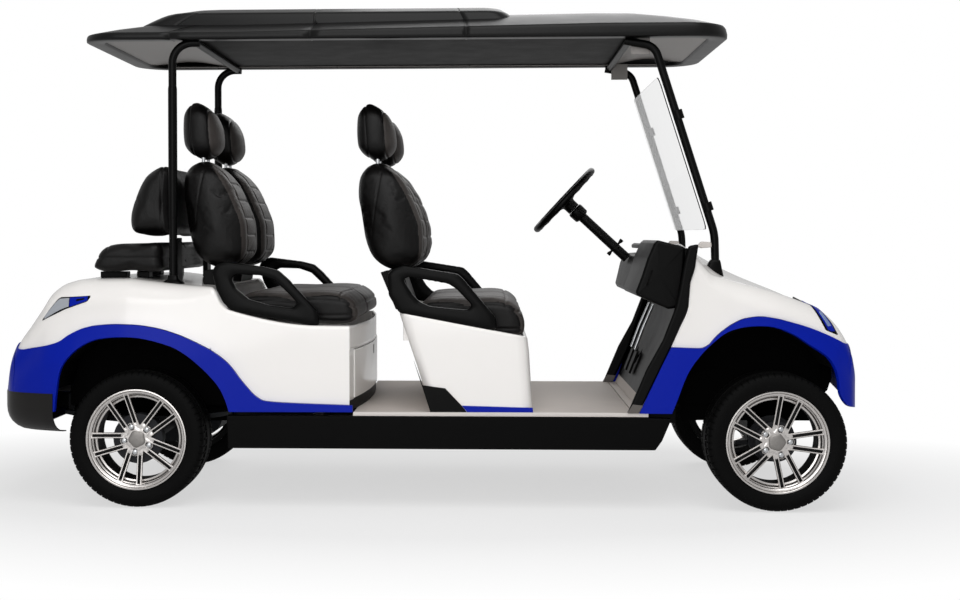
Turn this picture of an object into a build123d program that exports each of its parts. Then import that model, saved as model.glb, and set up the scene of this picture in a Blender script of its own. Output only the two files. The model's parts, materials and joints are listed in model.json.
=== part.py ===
"""Six-seat electric golf cart: two forward rows and a rear-facing bench under one long roof.

Millimetres. +X is forward, +Y is the driver's (left) side, +Z is up. The origin is on the ground,
under the middle of the overall length and width.
"""

from build123d import *
from math import cos, radians, sin, sqrt
import os

os.makedirs("parts", exist_ok=True)

# ---------------------------------------------------------------- driving dimensions
wheelbase = 2414
front_axle_x = 1327           # from the middle of the overall length
rear_axle_x = front_axle_x - wheelbase
front_overhang = 318          # axle to the foremost skin
rear_overhang = 558           # axle to the rearmost skin
gap = 0.3                     # clearance between seated pieces
run = 6                       # clearance round moving pieces
far = 2000                    # reaches past everything, for cutting

# wheels: 205/40 R14
tyre_r = 260
tyre_w = 205
tyre_wall_r = 246             # where the tread rolls over into the sidewall
tyre_outer_y = 620            # outer sidewall, from the middle plane
wheel_y = tyre_outer_y - tyre_w / 2
axle_z = tyre_r
rim_seat_r = 178
rim_flange_r = rim_seat_r + 14
rim_well_r = rim_seat_r - 18
rim_wall = 7
rim_w = 186
hub_r = 76
hub_t = 20
hub_bore_r = 27
lug_pcd = 101.6
lug_hole_r = 7
spoke_pairs = 5
spoke_pair_angle = 25         # between the two spokes of a pair, at the hub's centre
spoke_w = 17
spoke_t = 20

# steering
kingpin_y = 440
kingpin_r = 11
spindle_r = 18
column_angle = 43             # below the horizontal
column_r = 21
wheel_centre = (578, 270, 1187)
steering_r = 186
steering_grip_r = 13

# body
body_y = 585                  # plain sides of the seat bases
flare_y = 640                 # beyond the outermost skin over the wheels
skin = 8                      # thickness of the moulded panels
floor_z = 366
floor_t = 14
base_deck = 640               # shelf under the front cushion
well_top = 690                # shelf under the second-row cushion
floor_y = 596
sill_z = 228
sill_y = 602
sill_t = 46
clad_proud = 14               # coloured lower panels stand proud of the white ones

# seats
seat_y = 245                  # middle of each seat
seat_w = 400
seat_pitch = 697              # first row to second row
row_rise = 8
cushion_y = 522
bench_y = 470
bench_back_y = 438

# roof
roof_y = 520
roof_rear_x = -1330
roof_front_x = 1175
roof_lip_z = 1785
roof_lip_h = 36
roof_corner = 150
roof_skin = 7
strut_y = 470
strut_r = 16
rear_strut_x = -972


def prism(points, y_low, y_high, mode=Mode.ADD, corner=0.0):
    """Side profile of (x, z) points, run across from y_low to y_high, its corners rounded by corner."""
    with BuildSketch(Plane.XZ.offset(-y_high)) as outline:
        with BuildLine():
            Polyline(points, close=True)
        make_face()
        if corner:
            fillet(outline.vertices(), corner)
    extrude(outline.sketch, amount=y_high - y_low, dir=(0, -1, 0), mode=mode)


def plan(points, z_low, z_high, mode=Mode.ADD, corner=0.0):
    """Plan outline of (x, y) points, from z_low up to z_high."""
    with BuildSketch(Plane.XY.offset(z_low)) as outline:
        with BuildLine():
            Polyline(points, close=True)
        make_face()
        if corner:
            fillet(outline.vertices(), corner)
    extrude(outline.sketch, amount=z_high - z_low, dir=(0, 0, 1), mode=mode)


def block(x_low, x_high, y_low, y_high, z_low, z_high, mode=Mode.ADD):
    """Plain box between two corners."""
    with Locations(((x_low + x_high) / 2, (y_low + y_high) / 2, (z_low + z_high) / 2)):
        Box(x_high - x_low, y_high - y_low, z_high - z_low, mode=mode)


def both_sides():
    """Copies what is there to the other side of the middle plane."""
    mirror(about=Plane.XZ)


def tube(points, radii, radius):
    """Round bar of the given radius along points, with bends of the given radii."""
    with BuildLine() as path:
        FilletPolyline(points, radius=radii)
    with BuildSketch(Plane(origin=path.line @ 0, z_dir=path.line % 0)) as end:
        Circle(radius)
    sweep(end.sketch, path=path.line)


def save(piece, name):
    """Labels a finished piece and writes it."""
    piece.part.label = name
    export_step(piece.part, f"parts/{name}.step")


# ---------------------------------------------------------------- body sections
# One row per section of the moulded body, from the cabin outwards: place along the body, half width,
# how far the side leans in above its waist, lower edge, upper edge, shoulder radius, rise of the crown.
nose_x = front_axle_x + front_overhang - clad_proud
tail_x = rear_axle_x - rear_overhang + clad_proud
deck_low, deck_mid, deck_high, deck_back = 838, 846, 869, 866
deck_crown = 0.5
REAR_SECTIONS = (
    # x, half_w, lean, z_low, z_top, shoulder, crown
    (-200, 583, 2, floor_z, 905, 60, 8),
    (-732, 592, 2, floor_z, 905, 60, 8),
    (-790, 595, 5, floor_z, 905, 60, 8),
    (-801, 596, 5, floor_z, deck_low, 30, deck_crown),
    (-930, 607, 16, floor_z, deck_mid, 76, deck_crown),
    (rear_axle_x - 44, 623, 30, floor_z, deck_high, 98, deck_crown),
    (rear_axle_x - 225, 618, 36, floor_z, deck_back, 108, deck_crown),
    (tail_x + 247, 610, 38, floor_z, 850, 112, 10),
    (tail_x + 194, 598, 36, floor_z, 816, 108, 14),
    (tail_x + 151, 582, 32, floor_z, 755, 100, 14),
    (tail_x + 101, 560, 24, floor_z, 684, 90, 14),
    (tail_x + 61, 536, 14, floor_z, 630, 80, 12),
    (tail_x + 31, 508, 6, floor_z, 566, 60, 10),
    (tail_x, 450, 3, floor_z, 450, 40, 6),
)
FRONT_SECTIONS = (
    (790, 588, 2, floor_z, 1004, 50, 4),
    (1010, 592, 6, floor_z, 996, 50, 8),
    (1035, 592, 8, floor_z, 986, 54, 14),
    (1060, 593, 10, floor_z, 936, 60, 64),
    (1101, 595, 12, floor_z, 890, 68, 100),
    (1136, 599, 16, floor_z, 874, 76, 66),
    (1168, 603, 20, floor_z, 864, 82, 40),
    (1250, 614, 28, floor_z, 842, 90, 28),
    (front_axle_x, 622, 34, floor_z, 820, 96, 26),
    (nose_x - 211, 618, 38, floor_z, 788, 96, 26),
    (nose_x - 128, 606, 36, floor_z, 752, 92, 26),
    (nose_x - 81, 592, 28, floor_z, 712, 86, 26),
    (nose_x - 41, 570, 18, floor_z, 660, 78, 22),
    (nose_x - 16, 548, 10, floor_z, 606, 66, 18),
    (nose_x, 515, 3, floor_z, 540, 50, 10),
)


def section(x, half_w, lean, z_low, z_top, shoulder, crown, grow, past):
    """Cross-section of the body at x: upright to its waist, leaning in to round shoulders, crowned on top.

    grow moves the skin outwards, all round but at the lower edge, which goes down by past.
    """
    w = half_w + grow
    top = z_top + grow
    r = shoulder + grow
    waist = z_low + 0.6 * (top - r - z_low)
    z_low = z_low - past
    rise = crown
    with BuildSketch(Plane(origin=(x, 0, 0), x_dir=(0, 1, 0), z_dir=(1, 0, 0))) as outline:
        with BuildLine():
            Polyline((-w, waist), (-w, z_low), (w, z_low), (w, waist), (w - lean, top - r))
            RadiusArc((w - lean, top - r), (w - lean - r, top), -r)
            ThreePointArc((w - lean - r, top), (0, top + rise), (-w + lean + r, top))
            RadiusArc((-w + lean + r, top), (-w + lean, top - r), -r)
            Line((-w + lean, top - r), (-w, waist))
        make_face()
    return outline.sketch


def moulding(sections, grow, mode=Mode.ADD):
    """Body lofted through its sections, its skin and its closed last end moved outwards by grow.

    A body taken away to hollow another one runs on past that one's open first end and lower edge.
    """
    first, *middle, last = sections
    outwards = 1 if last[0] > 0 else -1
    past = 30 if mode == Mode.SUBTRACT else 0
    rows = [(first[0] - outwards * past, *first[1:]), *middle, (last[0] + outwards * grow, *last[1:])]
    loft([section(*row, grow, past) for row in rows], ruled=True, mode=mode)


def placed(points, x, z):
    """Outline moved to its place."""
    return tuple((px + x, pz + z) for px, pz in points)


# side outlines shared by the white panels and the coloured ones, as (x, z)
REAR_FLARE = placed((
    (-613, 616), (-413, 604), (-302, 629), (-255, 660), (-200, 684), (-75, 699), (81, 684), (236,
    627), (352, 550), (432, 446), (490, 408), (887, 388),
), rear_axle_x, 0)
REAR_ARCH = placed((
    (-313, 340), (-303, 450), (-273, 550), (-179, 631), (-70, 651), (54, 639), (193, 582), (278,
    506), (339, 414), (359, 340),
), rear_axle_x, 0)
FRONT_FLARE = placed((
    (-437, 615), (-287, 612), (-231, 653), (-161, 706), (-62, 731), (50, 710), (190, 661), (246,
    629), (393, 616),
), front_axle_x, 0)
FRONT_ARCH = placed((
    (-515, 340), (-395, 352), (-371, 416), (-332, 516), (-234, 636), (-122, 691), (-27, 694), (67,
    658), (158, 602), (217, 532), (229, 455), (295, 385), (338, 340),
), front_axle_x, 0)
DECK = placed((
    (-801, deck_low), (-930, deck_mid), (rear_axle_x - 44, deck_high), (rear_axle_x - 225, deck_back),
), 0, deck_crown)
# the run of the body's top edge beside the second-row cushion
RIM = placed(((-290, 0), (-411, 3), (-732, 61), (-764, 88), (-786, 132)), 0, well_top) + DECK[:1]
REAR_TOP = ((-far, 930), (-far, 300), (-215, 300), (-215, well_top)) + RIM[:-1] + ((-830, deck_low + 30), (-830, 930))


# ---------------------------------------------------------------- chassis
rail_y = 300
rail_w = 50
rail_h = 56
rail_top = floor_z - floor_t - gap
front_rail_y = 220
kick_z = rail_top             # the rails rise by their own height over each axle
FRAME_CROSS = (
    # x, y_reach, z_low
    (-1540, rail_y, kick_z), (-730, rail_y, rail_top - rail_h), (-60, rail_y, rail_top - rail_h),
    (470, rail_y, rail_top - rail_h), (955, front_rail_y, rail_top - rail_h),
    (1522, front_rail_y, kick_z),
)
rail_in = rail_y - rail_w / 2
rail_out = rail_y + rail_w / 2
front_in = front_rail_y - rail_w / 2
with BuildPart() as frame:
    block(-760, 985, rail_in, rail_out, rail_top - rail_h, rail_top)
    block(-1570, -700, rail_in, rail_out, kick_z + gap, kick_z + rail_h)
    block(925, 1560, front_in, front_rail_y + rail_w / 2, kick_z + gap, kick_z + rail_h)
    block(925, 985, front_in, rail_in - gap, rail_top - rail_h, rail_top)
    for x_bar in (-400, 250, 700):
        block(x_bar - 20, x_bar + 20, rail_out + gap, sill_y - sill_t - gap, rail_top - rail_h + 8, rail_top)
    both_sides()
    for x_bar, y_reach, z_bar in FRAME_CROSS:
        y_end = y_reach - rail_w / 2 - gap
        block(x_bar - 22, x_bar + 22, -y_end, y_end, z_bar + 4, z_bar + rail_h - 4)
save(frame, "frame")

# ---------------------------------------------------------------- wheels
WHEELS = (
    # name, x, side (+1 is left)
    ("rear_left", rear_axle_x, 1),
    ("rear_right", rear_axle_x, -1),
    ("front_left", front_axle_x, 1),
    ("front_right", front_axle_x, -1),
)


def wheel_plane(x, side):
    """Plane on the wheel's outer face, its normal pointing outwards along the axle."""
    return Plane(origin=(x, side * wheel_y, axle_z), x_dir=(1, 0, 0), z_dir=(0, side, 0))


tyre_half = tyre_w / 2
for name, x, side in WHEELS:
    with BuildPart(wheel_plane(x, side)) as tyre:
        with BuildSketch(Plane(origin=(x, side * wheel_y, axle_z), x_dir=(0, side, 0), z_dir=(-side, 0, 0))):
            with BuildLine():
                Polyline(
                    (-rim_w / 2 + 9 + gap, rim_seat_r + gap),
                    (-rim_w / 2 + 9 + gap, rim_flange_r + gap),
                    (-rim_w / 2 - 1, rim_flange_r + 4),
                    (-tyre_half, 222),
                    (-tyre_half + 3, tyre_wall_r - 8),
                    (-tyre_half + 18, tyre_r - 3),
                    (-50, tyre_r),
                    (50, tyre_r),
                    (tyre_half - 18, tyre_r - 3),
                    (tyre_half - 3, tyre_wall_r - 8),
                    (tyre_half, 222),
                    (rim_w / 2 + 1, rim_flange_r + 4),
                    (rim_w / 2 - 9 - gap, rim_flange_r + gap),
                    (rim_w / 2 - 9 - gap, rim_seat_r + gap),
                    close=True,
                )
            make_face()
        revolve(axis=Axis((x, 0, axle_z), (0, 1, 0)))
    save(tyre, f"tyre_{name}")

    with BuildPart() as rim:
        with BuildSketch(Plane(origin=(x, side * wheel_y, axle_z), x_dir=(0, side, 0), z_dir=(-side, 0, 0))):
            with BuildLine():
                Polyline(
                    (-rim_w / 2, rim_flange_r),
                    (-rim_w / 2 + 9, rim_flange_r),
                    (-rim_w / 2 + 9, rim_seat_r),
                    (-rim_w / 2 + 40, rim_seat_r),
                    (-rim_w / 2 + 52, rim_well_r + rim_wall),
                    (rim_w / 2 - 52, rim_well_r + rim_wall),
                    (rim_w / 2 - 40, rim_seat_r),
                    (rim_w / 2 - 9, rim_seat_r),
                    (rim_w / 2 - 9, rim_flange_r),
                    (rim_w / 2, rim_flange_r),
                    (rim_w / 2 - 3, rim_seat_r - rim_wall),
                    (rim_w / 2 - 40, rim_seat_r - rim_wall),
                    (rim_w / 2 - 52, rim_well_r),
                    (-rim_w / 2 + 52, rim_well_r),
                    (-rim_w / 2 + 40, rim_seat_r - rim_wall),
                    (-rim_w / 2, rim_seat_r - rim_wall),
                    close=True,
                )
            make_face()
        revolve(axis=Axis((x, 0, axle_z), (0, 1, 0)))
        face_y = side * (wheel_y + rim_w / 2 - 14)
        with BuildSketch(Plane(origin=(x, face_y, axle_z), x_dir=(1, 0, 0), z_dir=(0, -side, 0))):
            Circle(hub_r)
        extrude(amount=hub_t)
        with BuildSketch(Plane(origin=(x, face_y, axle_z), x_dir=(1, 0, 0), z_dir=(0, -side, 0))):
            reach = rim_seat_r - rim_wall + 3
            for pair in range(spoke_pairs):
                for half in (-0.5, 0.5):
                    turn = 90 + 360 / spoke_pairs * pair + half * spoke_pair_angle
                    with Locations(((hub_r - 16 + reach) / 2 * cos(radians(turn)),
                                    (hub_r - 16 + reach) / 2 * sin(radians(turn)))):
                        Rectangle(reach - hub_r + 16, spoke_w, rotation=turn)
        extrude(amount=spoke_t)
        with BuildSketch(Plane(origin=(x, face_y, axle_z), x_dir=(1, 0, 0), z_dir=(0, -side, 0))):
            Circle(hub_bore_r)
            with PolarLocations(lug_pcd / 2, 4, start_angle=45):
                Circle(lug_hole_r)
        extrude(amount=hub_t + 2, mode=Mode.SUBTRACT)
    save(rim, f"rim_{name}")

# ---------------------------------------------------------------- axles and steering
hub_back = wheel_y + rim_w / 2 - 14 - hub_t   # inner face of the rim's hub
drum_r = 95
drum_w = 48
with BuildPart() as rear_axle:
    with BuildSketch(Plane.XZ.offset(-(hub_back - gap))):
        with Locations((rear_axle_x, axle_z)):
            Circle(drum_r)
    extrude(amount=drum_w)
    with BuildSketch(Plane.XZ.offset(-(hub_back - gap))):
        with Locations((rear_axle_x, axle_z)):
            Circle(38)
    extrude(amount=hub_back - gap)
    both_sides()
    with Locations((rear_axle_x, 60, axle_z)):
        Cylinder(92, 130, rotation=(90, 0, 0))
    with Locations((rear_axle_x + 150, 60, axle_z + 20)):
        Cylinder(78, 250, rotation=(90, 0, 0))
    block(rear_axle_x, rear_axle_x + 150, 10, 110, axle_z - 50, axle_z + 60)
save(rear_axle, "rear_axle")

spring_y = 385
spring_w = 50
spring_t = 14
spring_x = 330
spring_seat = axle_z + 38
with BuildPart() as rear_springs:
    with BuildSketch(Plane.XZ.offset(-(spring_y + spring_w / 2))):
        with BuildLine():
            low = spring_seat + gap
            up = low + 34
            ThreePointArc((rear_axle_x - spring_x, up), (rear_axle_x, low), (rear_axle_x + spring_x, up))
            Line((rear_axle_x + spring_x, up), (rear_axle_x + spring_x, up + spring_t))
            ThreePointArc(
                (rear_axle_x + spring_x, up + spring_t),
                (rear_axle_x, low + spring_t + 12),
                (rear_axle_x - spring_x, up + spring_t),
            )
            Line((rear_axle_x - spring_x, up + spring_t), (rear_axle_x - spring_x, up))
        make_face()
    extrude(amount=spring_w)
    for x_end in (rear_axle_x - spring_x + 12, rear_axle_x + spring_x - 12):
        block(x_end - 12, x_end + 12, rail_y + rail_w / 2 + gap, spring_y - spring_w / 2 + 4, up, kick_z + rail_h)
    both_sides()
save(rear_springs, "rear_springs")

# front beam: a cross tube under the rails with a forked end round each kingpin
fork_h = 92
with BuildPart() as front_axle:
    block(front_axle_x - 45, front_axle_x + 45, -front_rail_y, front_rail_y, 222, 290)
    for side in (-1, 1):
        for z_arm in (axle_z - fork_h / 2 - 14, axle_z + fork_h / 2):
            plan(
                [
                    (front_axle_x - 45, side * 190), (front_axle_x + 45, side * 190),
                    (front_axle_x + 20, side * (kingpin_y + 16)), (front_axle_x - 20, side * (kingpin_y + 16)),
                ],
                z_arm, z_arm + 14,
            )
        block(front_axle_x - 45, front_axle_x + 45, min(side * 190, side * 222), max(side * 190, side * 222),
              axle_z - fork_h / 2 - 14, kick_z - gap)
        with Locations((front_axle_x, side * kingpin_y, axle_z)):
            Cylinder(kingpin_r + gap, fork_h + 60, mode=Mode.SUBTRACT)
save(front_axle, "front_axle")

disc_r = 88
disc_off = 36                 # from the kingpin, so that the disc swings clear of the fork
flange_t = 10                 # the hub flange that the rim is bolted to
with BuildPart() as knuckle:
    with Locations((front_axle_x, kingpin_y, axle_z)):
        Cylinder(24, fork_h - 2 * gap)
        Cylinder(kingpin_r, fork_h + 28)
    with BuildSketch(Plane.XZ.offset(-kingpin_y)):
        with Locations((front_axle_x, axle_z)):
            Circle(spindle_r)
    extrude(amount=hub_back - gap - kingpin_y, dir=(0, 1, 0))
    with BuildSketch(Plane.XZ.offset(-(hub_back - flange_t - gap))):
        with Locations((front_axle_x, axle_z)):
            Circle(hub_r)
    extrude(amount=flange_t, dir=(0, 1, 0))
    with BuildSketch(Plane.XZ.offset(-(kingpin_y + disc_off))):
        with Locations((front_axle_x, axle_z)):
            Circle(disc_r)
    extrude(amount=14, dir=(0, 1, 0))
    block(front_axle_x - 130, front_axle_x, kingpin_y - 14, kingpin_y + 8, axle_z - 30, axle_z - 16)
save(knuckle, "knuckle_left")
with BuildPart() as knuckle_right:
    add(knuckle.part.mirror(Plane.XZ))
save(knuckle_right, "knuckle_right")

axis_x = cos(radians(column_angle))
axis_z = -sin(radians(column_angle))
wheel_x, wheel_side, wheel_z = wheel_centre
column_start = 60             # boss of the wheel to the top of the shroud
column_end = 372


def on_column(distance):
    """Point on the column's axis, this far below the wheel's centre."""
    return (wheel_x + axis_x * distance, wheel_side, wheel_z + axis_z * distance)


def column_plane(distance):
    """Plane across the column."""
    return Plane(origin=on_column(distance), x_dir=(0, 1, 0), z_dir=(axis_x, 0, axis_z))


with BuildPart() as steering_wheel:
    with BuildSketch(Plane(origin=wheel_centre, x_dir=(0, 1, 0), z_dir=(-axis_z, 0, axis_x))):
        with Locations((steering_r - steering_grip_r, 0)):
            Circle(steering_grip_r)
    revolve(axis=Axis(wheel_centre, (axis_x, 0, axis_z)))
    with BuildSketch(column_plane(2)):
        for turn in (0, 180, 270):
            with Locations((90 * cos(radians(turn)), 90 * sin(radians(turn)))):
                Rectangle(steering_r - 20, 26, rotation=turn)
        Circle(52)
    extrude(amount=12)
    with BuildSketch(column_plane(8)):
        Circle(30)
    extrude(amount=column_start - 8 - gap)
save(steering_wheel, "steering_wheel")

with BuildPart() as steering_column:
    with BuildSketch(column_plane(column_start)):
        Circle(34)
    extrude(amount=46)
    with BuildSketch(column_plane(column_start + 46)):
        Circle(column_r)
    extrude(amount=column_end - column_start - 46)
save(steering_column, "steering_column")

# ---------------------------------------------------------------- rear body
wheel_in_y = 385              # inner side of the wheel boxes

TAIL_LAMP = placed(((168, 709), (230, 792), (243, 799), (364, 806), (357, 787), (264, 753)), tail_x, 0)
HEADLAMP = placed(((-173, 790), (-152, 776), (-136, 765), (-90, 703), (-69, 658), (-119, 678), (-144, 730)), nose_x, 0)
STORAGE_DOOR = (410, 596, 500)      # z_low, z_high, half width
second_front_x = -276
base_bow = 50                 # how far the second-row base bulges forward in the middle
hinge_x = second_front_x + base_bow + 5
hinge_r = 5


def outer_bands(points, mode):
    """Side profile cut into both outer bands of the body, from the wheel boxes outwards."""
    prism(points, wheel_in_y, far, mode=mode)
    prism(points, -far, -wheel_in_y, mode=mode)


def keep(points, y_low, y_high):
    """Keeps only what lies inside the side profile."""
    prism(points, y_low, y_high, mode=Mode.INTERSECT)


def bowed(inset, half_width, z_low, z_high, mode):
    """Block behind the bowed front of the second-row base, inset from it, as wide as asked."""
    with BuildSketch(Plane.XY.offset(z_low)) as outline:
        with BuildLine():
            ThreePointArc(
                (second_front_x - inset, -body_y),
                (second_front_x + base_bow - inset, 0),
                (second_front_x - inset, body_y),
            )
            Polyline(
                (second_front_x - inset, body_y), (second_front_x - 15 - inset, 700), (-far, 700),
                (-far, -700), (second_front_x - 15 - inset, -700), (second_front_x - inset, -body_y),
            )
        make_face()
        with Locations((-far / 2, 0)):
            Rectangle(far, 2 * half_width, mode=Mode.INTERSECT)
    extrude(outline.sketch, amount=z_high - z_low, dir=(0, 0, 1), mode=mode)


def stand_on(line):
    """Cuts a piece off just above a run of side outline, so that it stands there with the usual clearance."""
    raised = [(x, z + gap) for x, z in line]
    prism([(line[0][0], 600)] + raised + [(line[-1][0], 600)], -900, 900, mode=Mode.SUBTRACT)


rear_blue = REAR_FLARE + ((-200, 200), (-1700, 200))
tail_blue = [(-far, 200), (tail_x + 231, 200), (tail_x + 231, 626), REAR_FLARE[1], REAR_FLARE[0], (-far, 634)]
front_blue = FRONT_FLARE + ((1720, 200), (700, 200), (700, 620))
nose_blue = [(nose_x - 91, 200), (far, 200), (far, 600), FRONT_FLARE[-1], FRONT_FLARE[-2], (nose_x - 91, 640)]

with BuildPart() as rear_inside:
    moulding(REAR_SECTIONS, -skin)
    keep(
        [
            (tail_x + 41, 300), (tail_x + 41, 600), (tail_x + 121, 780), (tail_x + 221, 856), (-1240, 856),
            (-1131, 856), (-922, 834), (-810, 824), (-786, well_top - skin), (-320, well_top - skin), (-320, 300),
        ],
        -body_y + skin, body_y - skin,
    )
with BuildPart() as rear_body:
    moulding(REAR_SECTIONS, 0)
    keep(REAR_TOP, -900, 900)
    bowed(0, 700, 200, 1100, Mode.INTERSECT)
    add(rear_inside.part, mode=Mode.SUBTRACT)
    with BuildPart(mode=Mode.PRIVATE) as hollow:
        bowed(skin + 4, body_y - skin, 300, well_top - skin, Mode.ADD)
        block(-360, 0, -far, far, 0, far, mode=Mode.INTERSECT)
    add(hollow.part, mode=Mode.SUBTRACT)
    block(-748, 0, -cushion_y - 16, cushion_y + 16, well_top, 1000, mode=Mode.SUBTRACT)
    outer_bands(REAR_ARCH, Mode.SUBTRACT)
    outer_bands(rear_blue, Mode.SUBTRACT)
    prism(tail_blue, -wheel_in_y - 1, wheel_in_y + 1, mode=Mode.SUBTRACT)
    outer_bands(TAIL_LAMP, Mode.SUBTRACT)
    block(-340, 0, -STORAGE_DOOR[2] - run, STORAGE_DOOR[2] + run,
          STORAGE_DOOR[0] - run, STORAGE_DOOR[1] + run, mode=Mode.SUBTRACT)
    for side in (-1, 1):
        y_ends = sorted((side * 60, side * 90))
        block(hinge_x - 22, hinge_x, *y_ends, STORAGE_DOOR[0] - run - 10, STORAGE_DOOR[0] - run + 4)
        with Locations((hinge_x, side * 75, STORAGE_DOOR[0])):
            Cylinder(hinge_r, 30, rotation=(90, 0, 0))
save(rear_body, "rear_body")

STRIP = ((150, 391.6), (418, 384), (419, floor_z), (170, floor_z))
with BuildPart() as side_cladding:
    moulding(REAR_SECTIONS, clad_proud)
    moulding(REAR_SECTIONS, -skin, mode=Mode.SUBTRACT)
    block(tail_x + 231, 0, -wheel_in_y, wheel_in_y, 200, 1000, mode=Mode.SUBTRACT)
    keep([(-far, 372), (-200, 372), (-200, 388)] + list(reversed(REAR_FLARE[:-1])) + [(-far, 634)], -900, 900)
    outer_bands(REAR_ARCH, Mode.SUBTRACT)
    bowed(0, 700, 200, 1100, Mode.INTERSECT)
    for side in (-1, 1):
        y_ends = sorted((side * (body_y - skin + gap), side * (body_y + 4)))
        prism(STRIP, *y_ends)
save(side_cladding, "side_cladding")

with BuildPart() as tail_lamps:
    moulding(REAR_SECTIONS, 3)
    moulding(REAR_SECTIONS, -skin, mode=Mode.SUBTRACT)
    keep(TAIL_LAMP, -900, 900)
    block(-far, 0, -wheel_in_y, wheel_in_y, 600, 1000, mode=Mode.SUBTRACT)
save(tail_lamps, "tail_lamps")

with BuildPart() as rear_bumper:
    prism(
        placed(((-9, 371.7), (-1, 340), (31, 305), (86, 282), (197, 276), (182, 317), (179, 371.7)), tail_x, 0),
        -590, 590,
    )
    plan(
        placed(((-9, -440), (-9, 440), (31, 520), (111, 575), (231, 590), (231, -590), (111, -575), (31, -520)),
               tail_x, 0),
        200, 500, mode=Mode.INTERSECT,
    )
    prism(
        placed(((1, 380), (9, 345), (37, 315), (89, 292), (231, 286), (231, 380)), tail_x, 0),
        -560, 560, mode=Mode.SUBTRACT,
    )
save(rear_bumper, "rear_bumper")

door_low, door_high, door_half = STORAGE_DOOR
with BuildPart() as storage_door:
    bowed(0, door_half, door_low, door_high, Mode.ADD)
    bowed(12, door_half + 50, door_low - 10, door_high + 10, Mode.SUBTRACT)
    for side in (-1, 1):
        y_ends = sorted((side * (90 + gap), side * 120))
        block(hinge_x - 14, hinge_x, *y_ends, door_low, door_low + hinge_r)
        with Locations((hinge_x, side * (105 + gap / 2), door_low)):
            Cylinder(hinge_r, 30 - gap, rotation=(90, 0, 0))
save(storage_door, "storage_door")

# ---------------------------------------------------------------- front body
COWL = ((1035, 1001), (1022, 911), (1005, 856), (998, 766), (964, 683), (937, 622), (899, 544), (814, floor_z))
COWL_BACK = ((998, 994), (984, 938), (964, 828), (950, 766), (902, 641), (841, 530), (772, floor_z))
hood_zone = list(COWL) + [(far, floor_z), (far, 1100), (1035, 1100)]
with BuildPart() as hood:
    moulding(FRONT_SECTIONS, 0)
    keep(hood_zone, -900, 900)
    moulding(FRONT_SECTIONS, -skin, mode=Mode.SUBTRACT)
    outer_bands(front_blue, Mode.SUBTRACT)
    prism(nose_blue, -wheel_in_y - 1, wheel_in_y + 1, mode=Mode.SUBTRACT)
    outer_bands(HEADLAMP, Mode.SUBTRACT)
    outer_bands(FRONT_ARCH, Mode.SUBTRACT)
    block(700, nose_x - 91, -wheel_in_y, wheel_in_y, 300, 640, mode=Mode.SUBTRACT)
save(hood, "hood")

with BuildPart() as front_cladding:
    moulding(FRONT_SECTIONS, clad_proud)
    moulding(FRONT_SECTIONS, -skin, mode=Mode.SUBTRACT)
    keep(hood_zone, -900, 900)
    block(700, nose_x - 91, -wheel_in_y, wheel_in_y, 200, 1100, mode=Mode.SUBTRACT)
    keep([(700, 200), (700, 620)] + list(FRONT_FLARE) + [(far, 600), (far, 200)], -900, 900)
    outer_bands(FRONT_ARCH, Mode.SUBTRACT)
save(front_cladding, "front_cladding")

with BuildPart() as headlamps:
    moulding(FRONT_SECTIONS, 3)
    moulding(FRONT_SECTIONS, -skin, mode=Mode.SUBTRACT)
    keep(HEADLAMP, -900, 900)
    block(1000, far, -wheel_in_y, wheel_in_y, 600, 1000, mode=Mode.SUBTRACT)
save(headlamps, "headlamps")

with BuildPart() as cowl_trims:
    prism(list(COWL) + list(reversed(COWL_BACK)), 572, 600)
    both_sides()
    prism([(p[0] + gap, p[1]) for p in COWL] + [(far, floor_z), (far, 1001)], -700, 700, mode=Mode.SUBTRACT)
save(cowl_trims, "cowl_trims")

cabin_y = 572 - gap
with BuildPart() as dash:
    prism(
        [(851, 955), (878, 1008), (893, 1018), (994, 990), (988, 880), (975, 760), (928, 754), (806, 808),
         (803, 822), (825, 880)],
        -cabin_y, cabin_y,
    )
    prism(
        [(826, floor_z + gap), (844, floor_z + gap), (985, 700), (1000, 880), (1000, 985), (986, 985),
         (986, 880), (971, 703)],
        -cabin_y, cabin_y,
    )
    with BuildSketch(column_plane(column_start)):
        Circle(column_r + gap)
    extrude(amount=column_end - column_start + gap, mode=Mode.SUBTRACT)
save(dash, "dash")

with BuildPart() as pedals:
    for y_pedal, half in ((150, 42), (300, 34)):
        prism([(842, 452), (850, 447), (884, 536), (876, 541)], y_pedal - half, y_pedal + half)
        prism([(862, 492), (872, 488), (901.8, 543), (904.8, 550)], y_pedal - 10, y_pedal + 10)
save(pedals, "pedals")

liner_t = 10


def liner(arch, x_axle, inner_y):
    """Wheel box: a band just outside the arch, and the wall that closes its inner side."""
    grow = 1 + liner_t / tyre_r
    outer = [(x_axle + (x - x_axle) * grow, axle_z + (z - axle_z) * grow) for x, z in arch]
    prism(list(arch) + list(reversed(outer)), inner_y - liner_t, flare_y)
    prism([(outer[0][0], floor_z + gap)] + outer + [(outer[-1][0], floor_z + gap)], inner_y - liner_t, inner_y)
    both_sides()


steer_in_y = 285              # the steered tyre swings in to here at the height of the wall
with BuildPart() as rear_liners:
    liner(REAR_ARCH[1:-1], rear_axle_x, wheel_in_y)
    moulding(REAR_SECTIONS, -skin - gap, mode=Mode.INTERSECT)
with BuildPart() as wheel_liners:
    liner(FRONT_ARCH[2:-3], front_axle_x, steer_in_y)
    moulding(FRONT_SECTIONS, -skin - gap, mode=Mode.INTERSECT)
    add(rear_liners.part)
save(wheel_liners, "wheel_liners")

# ---------------------------------------------------------------- floor, sills, seat base
with BuildPart() as floor_pan:
    block(-262, 850, -floor_y, floor_y, floor_z - floor_t, floor_z)
save(floor_pan, "floor_pan")

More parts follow.
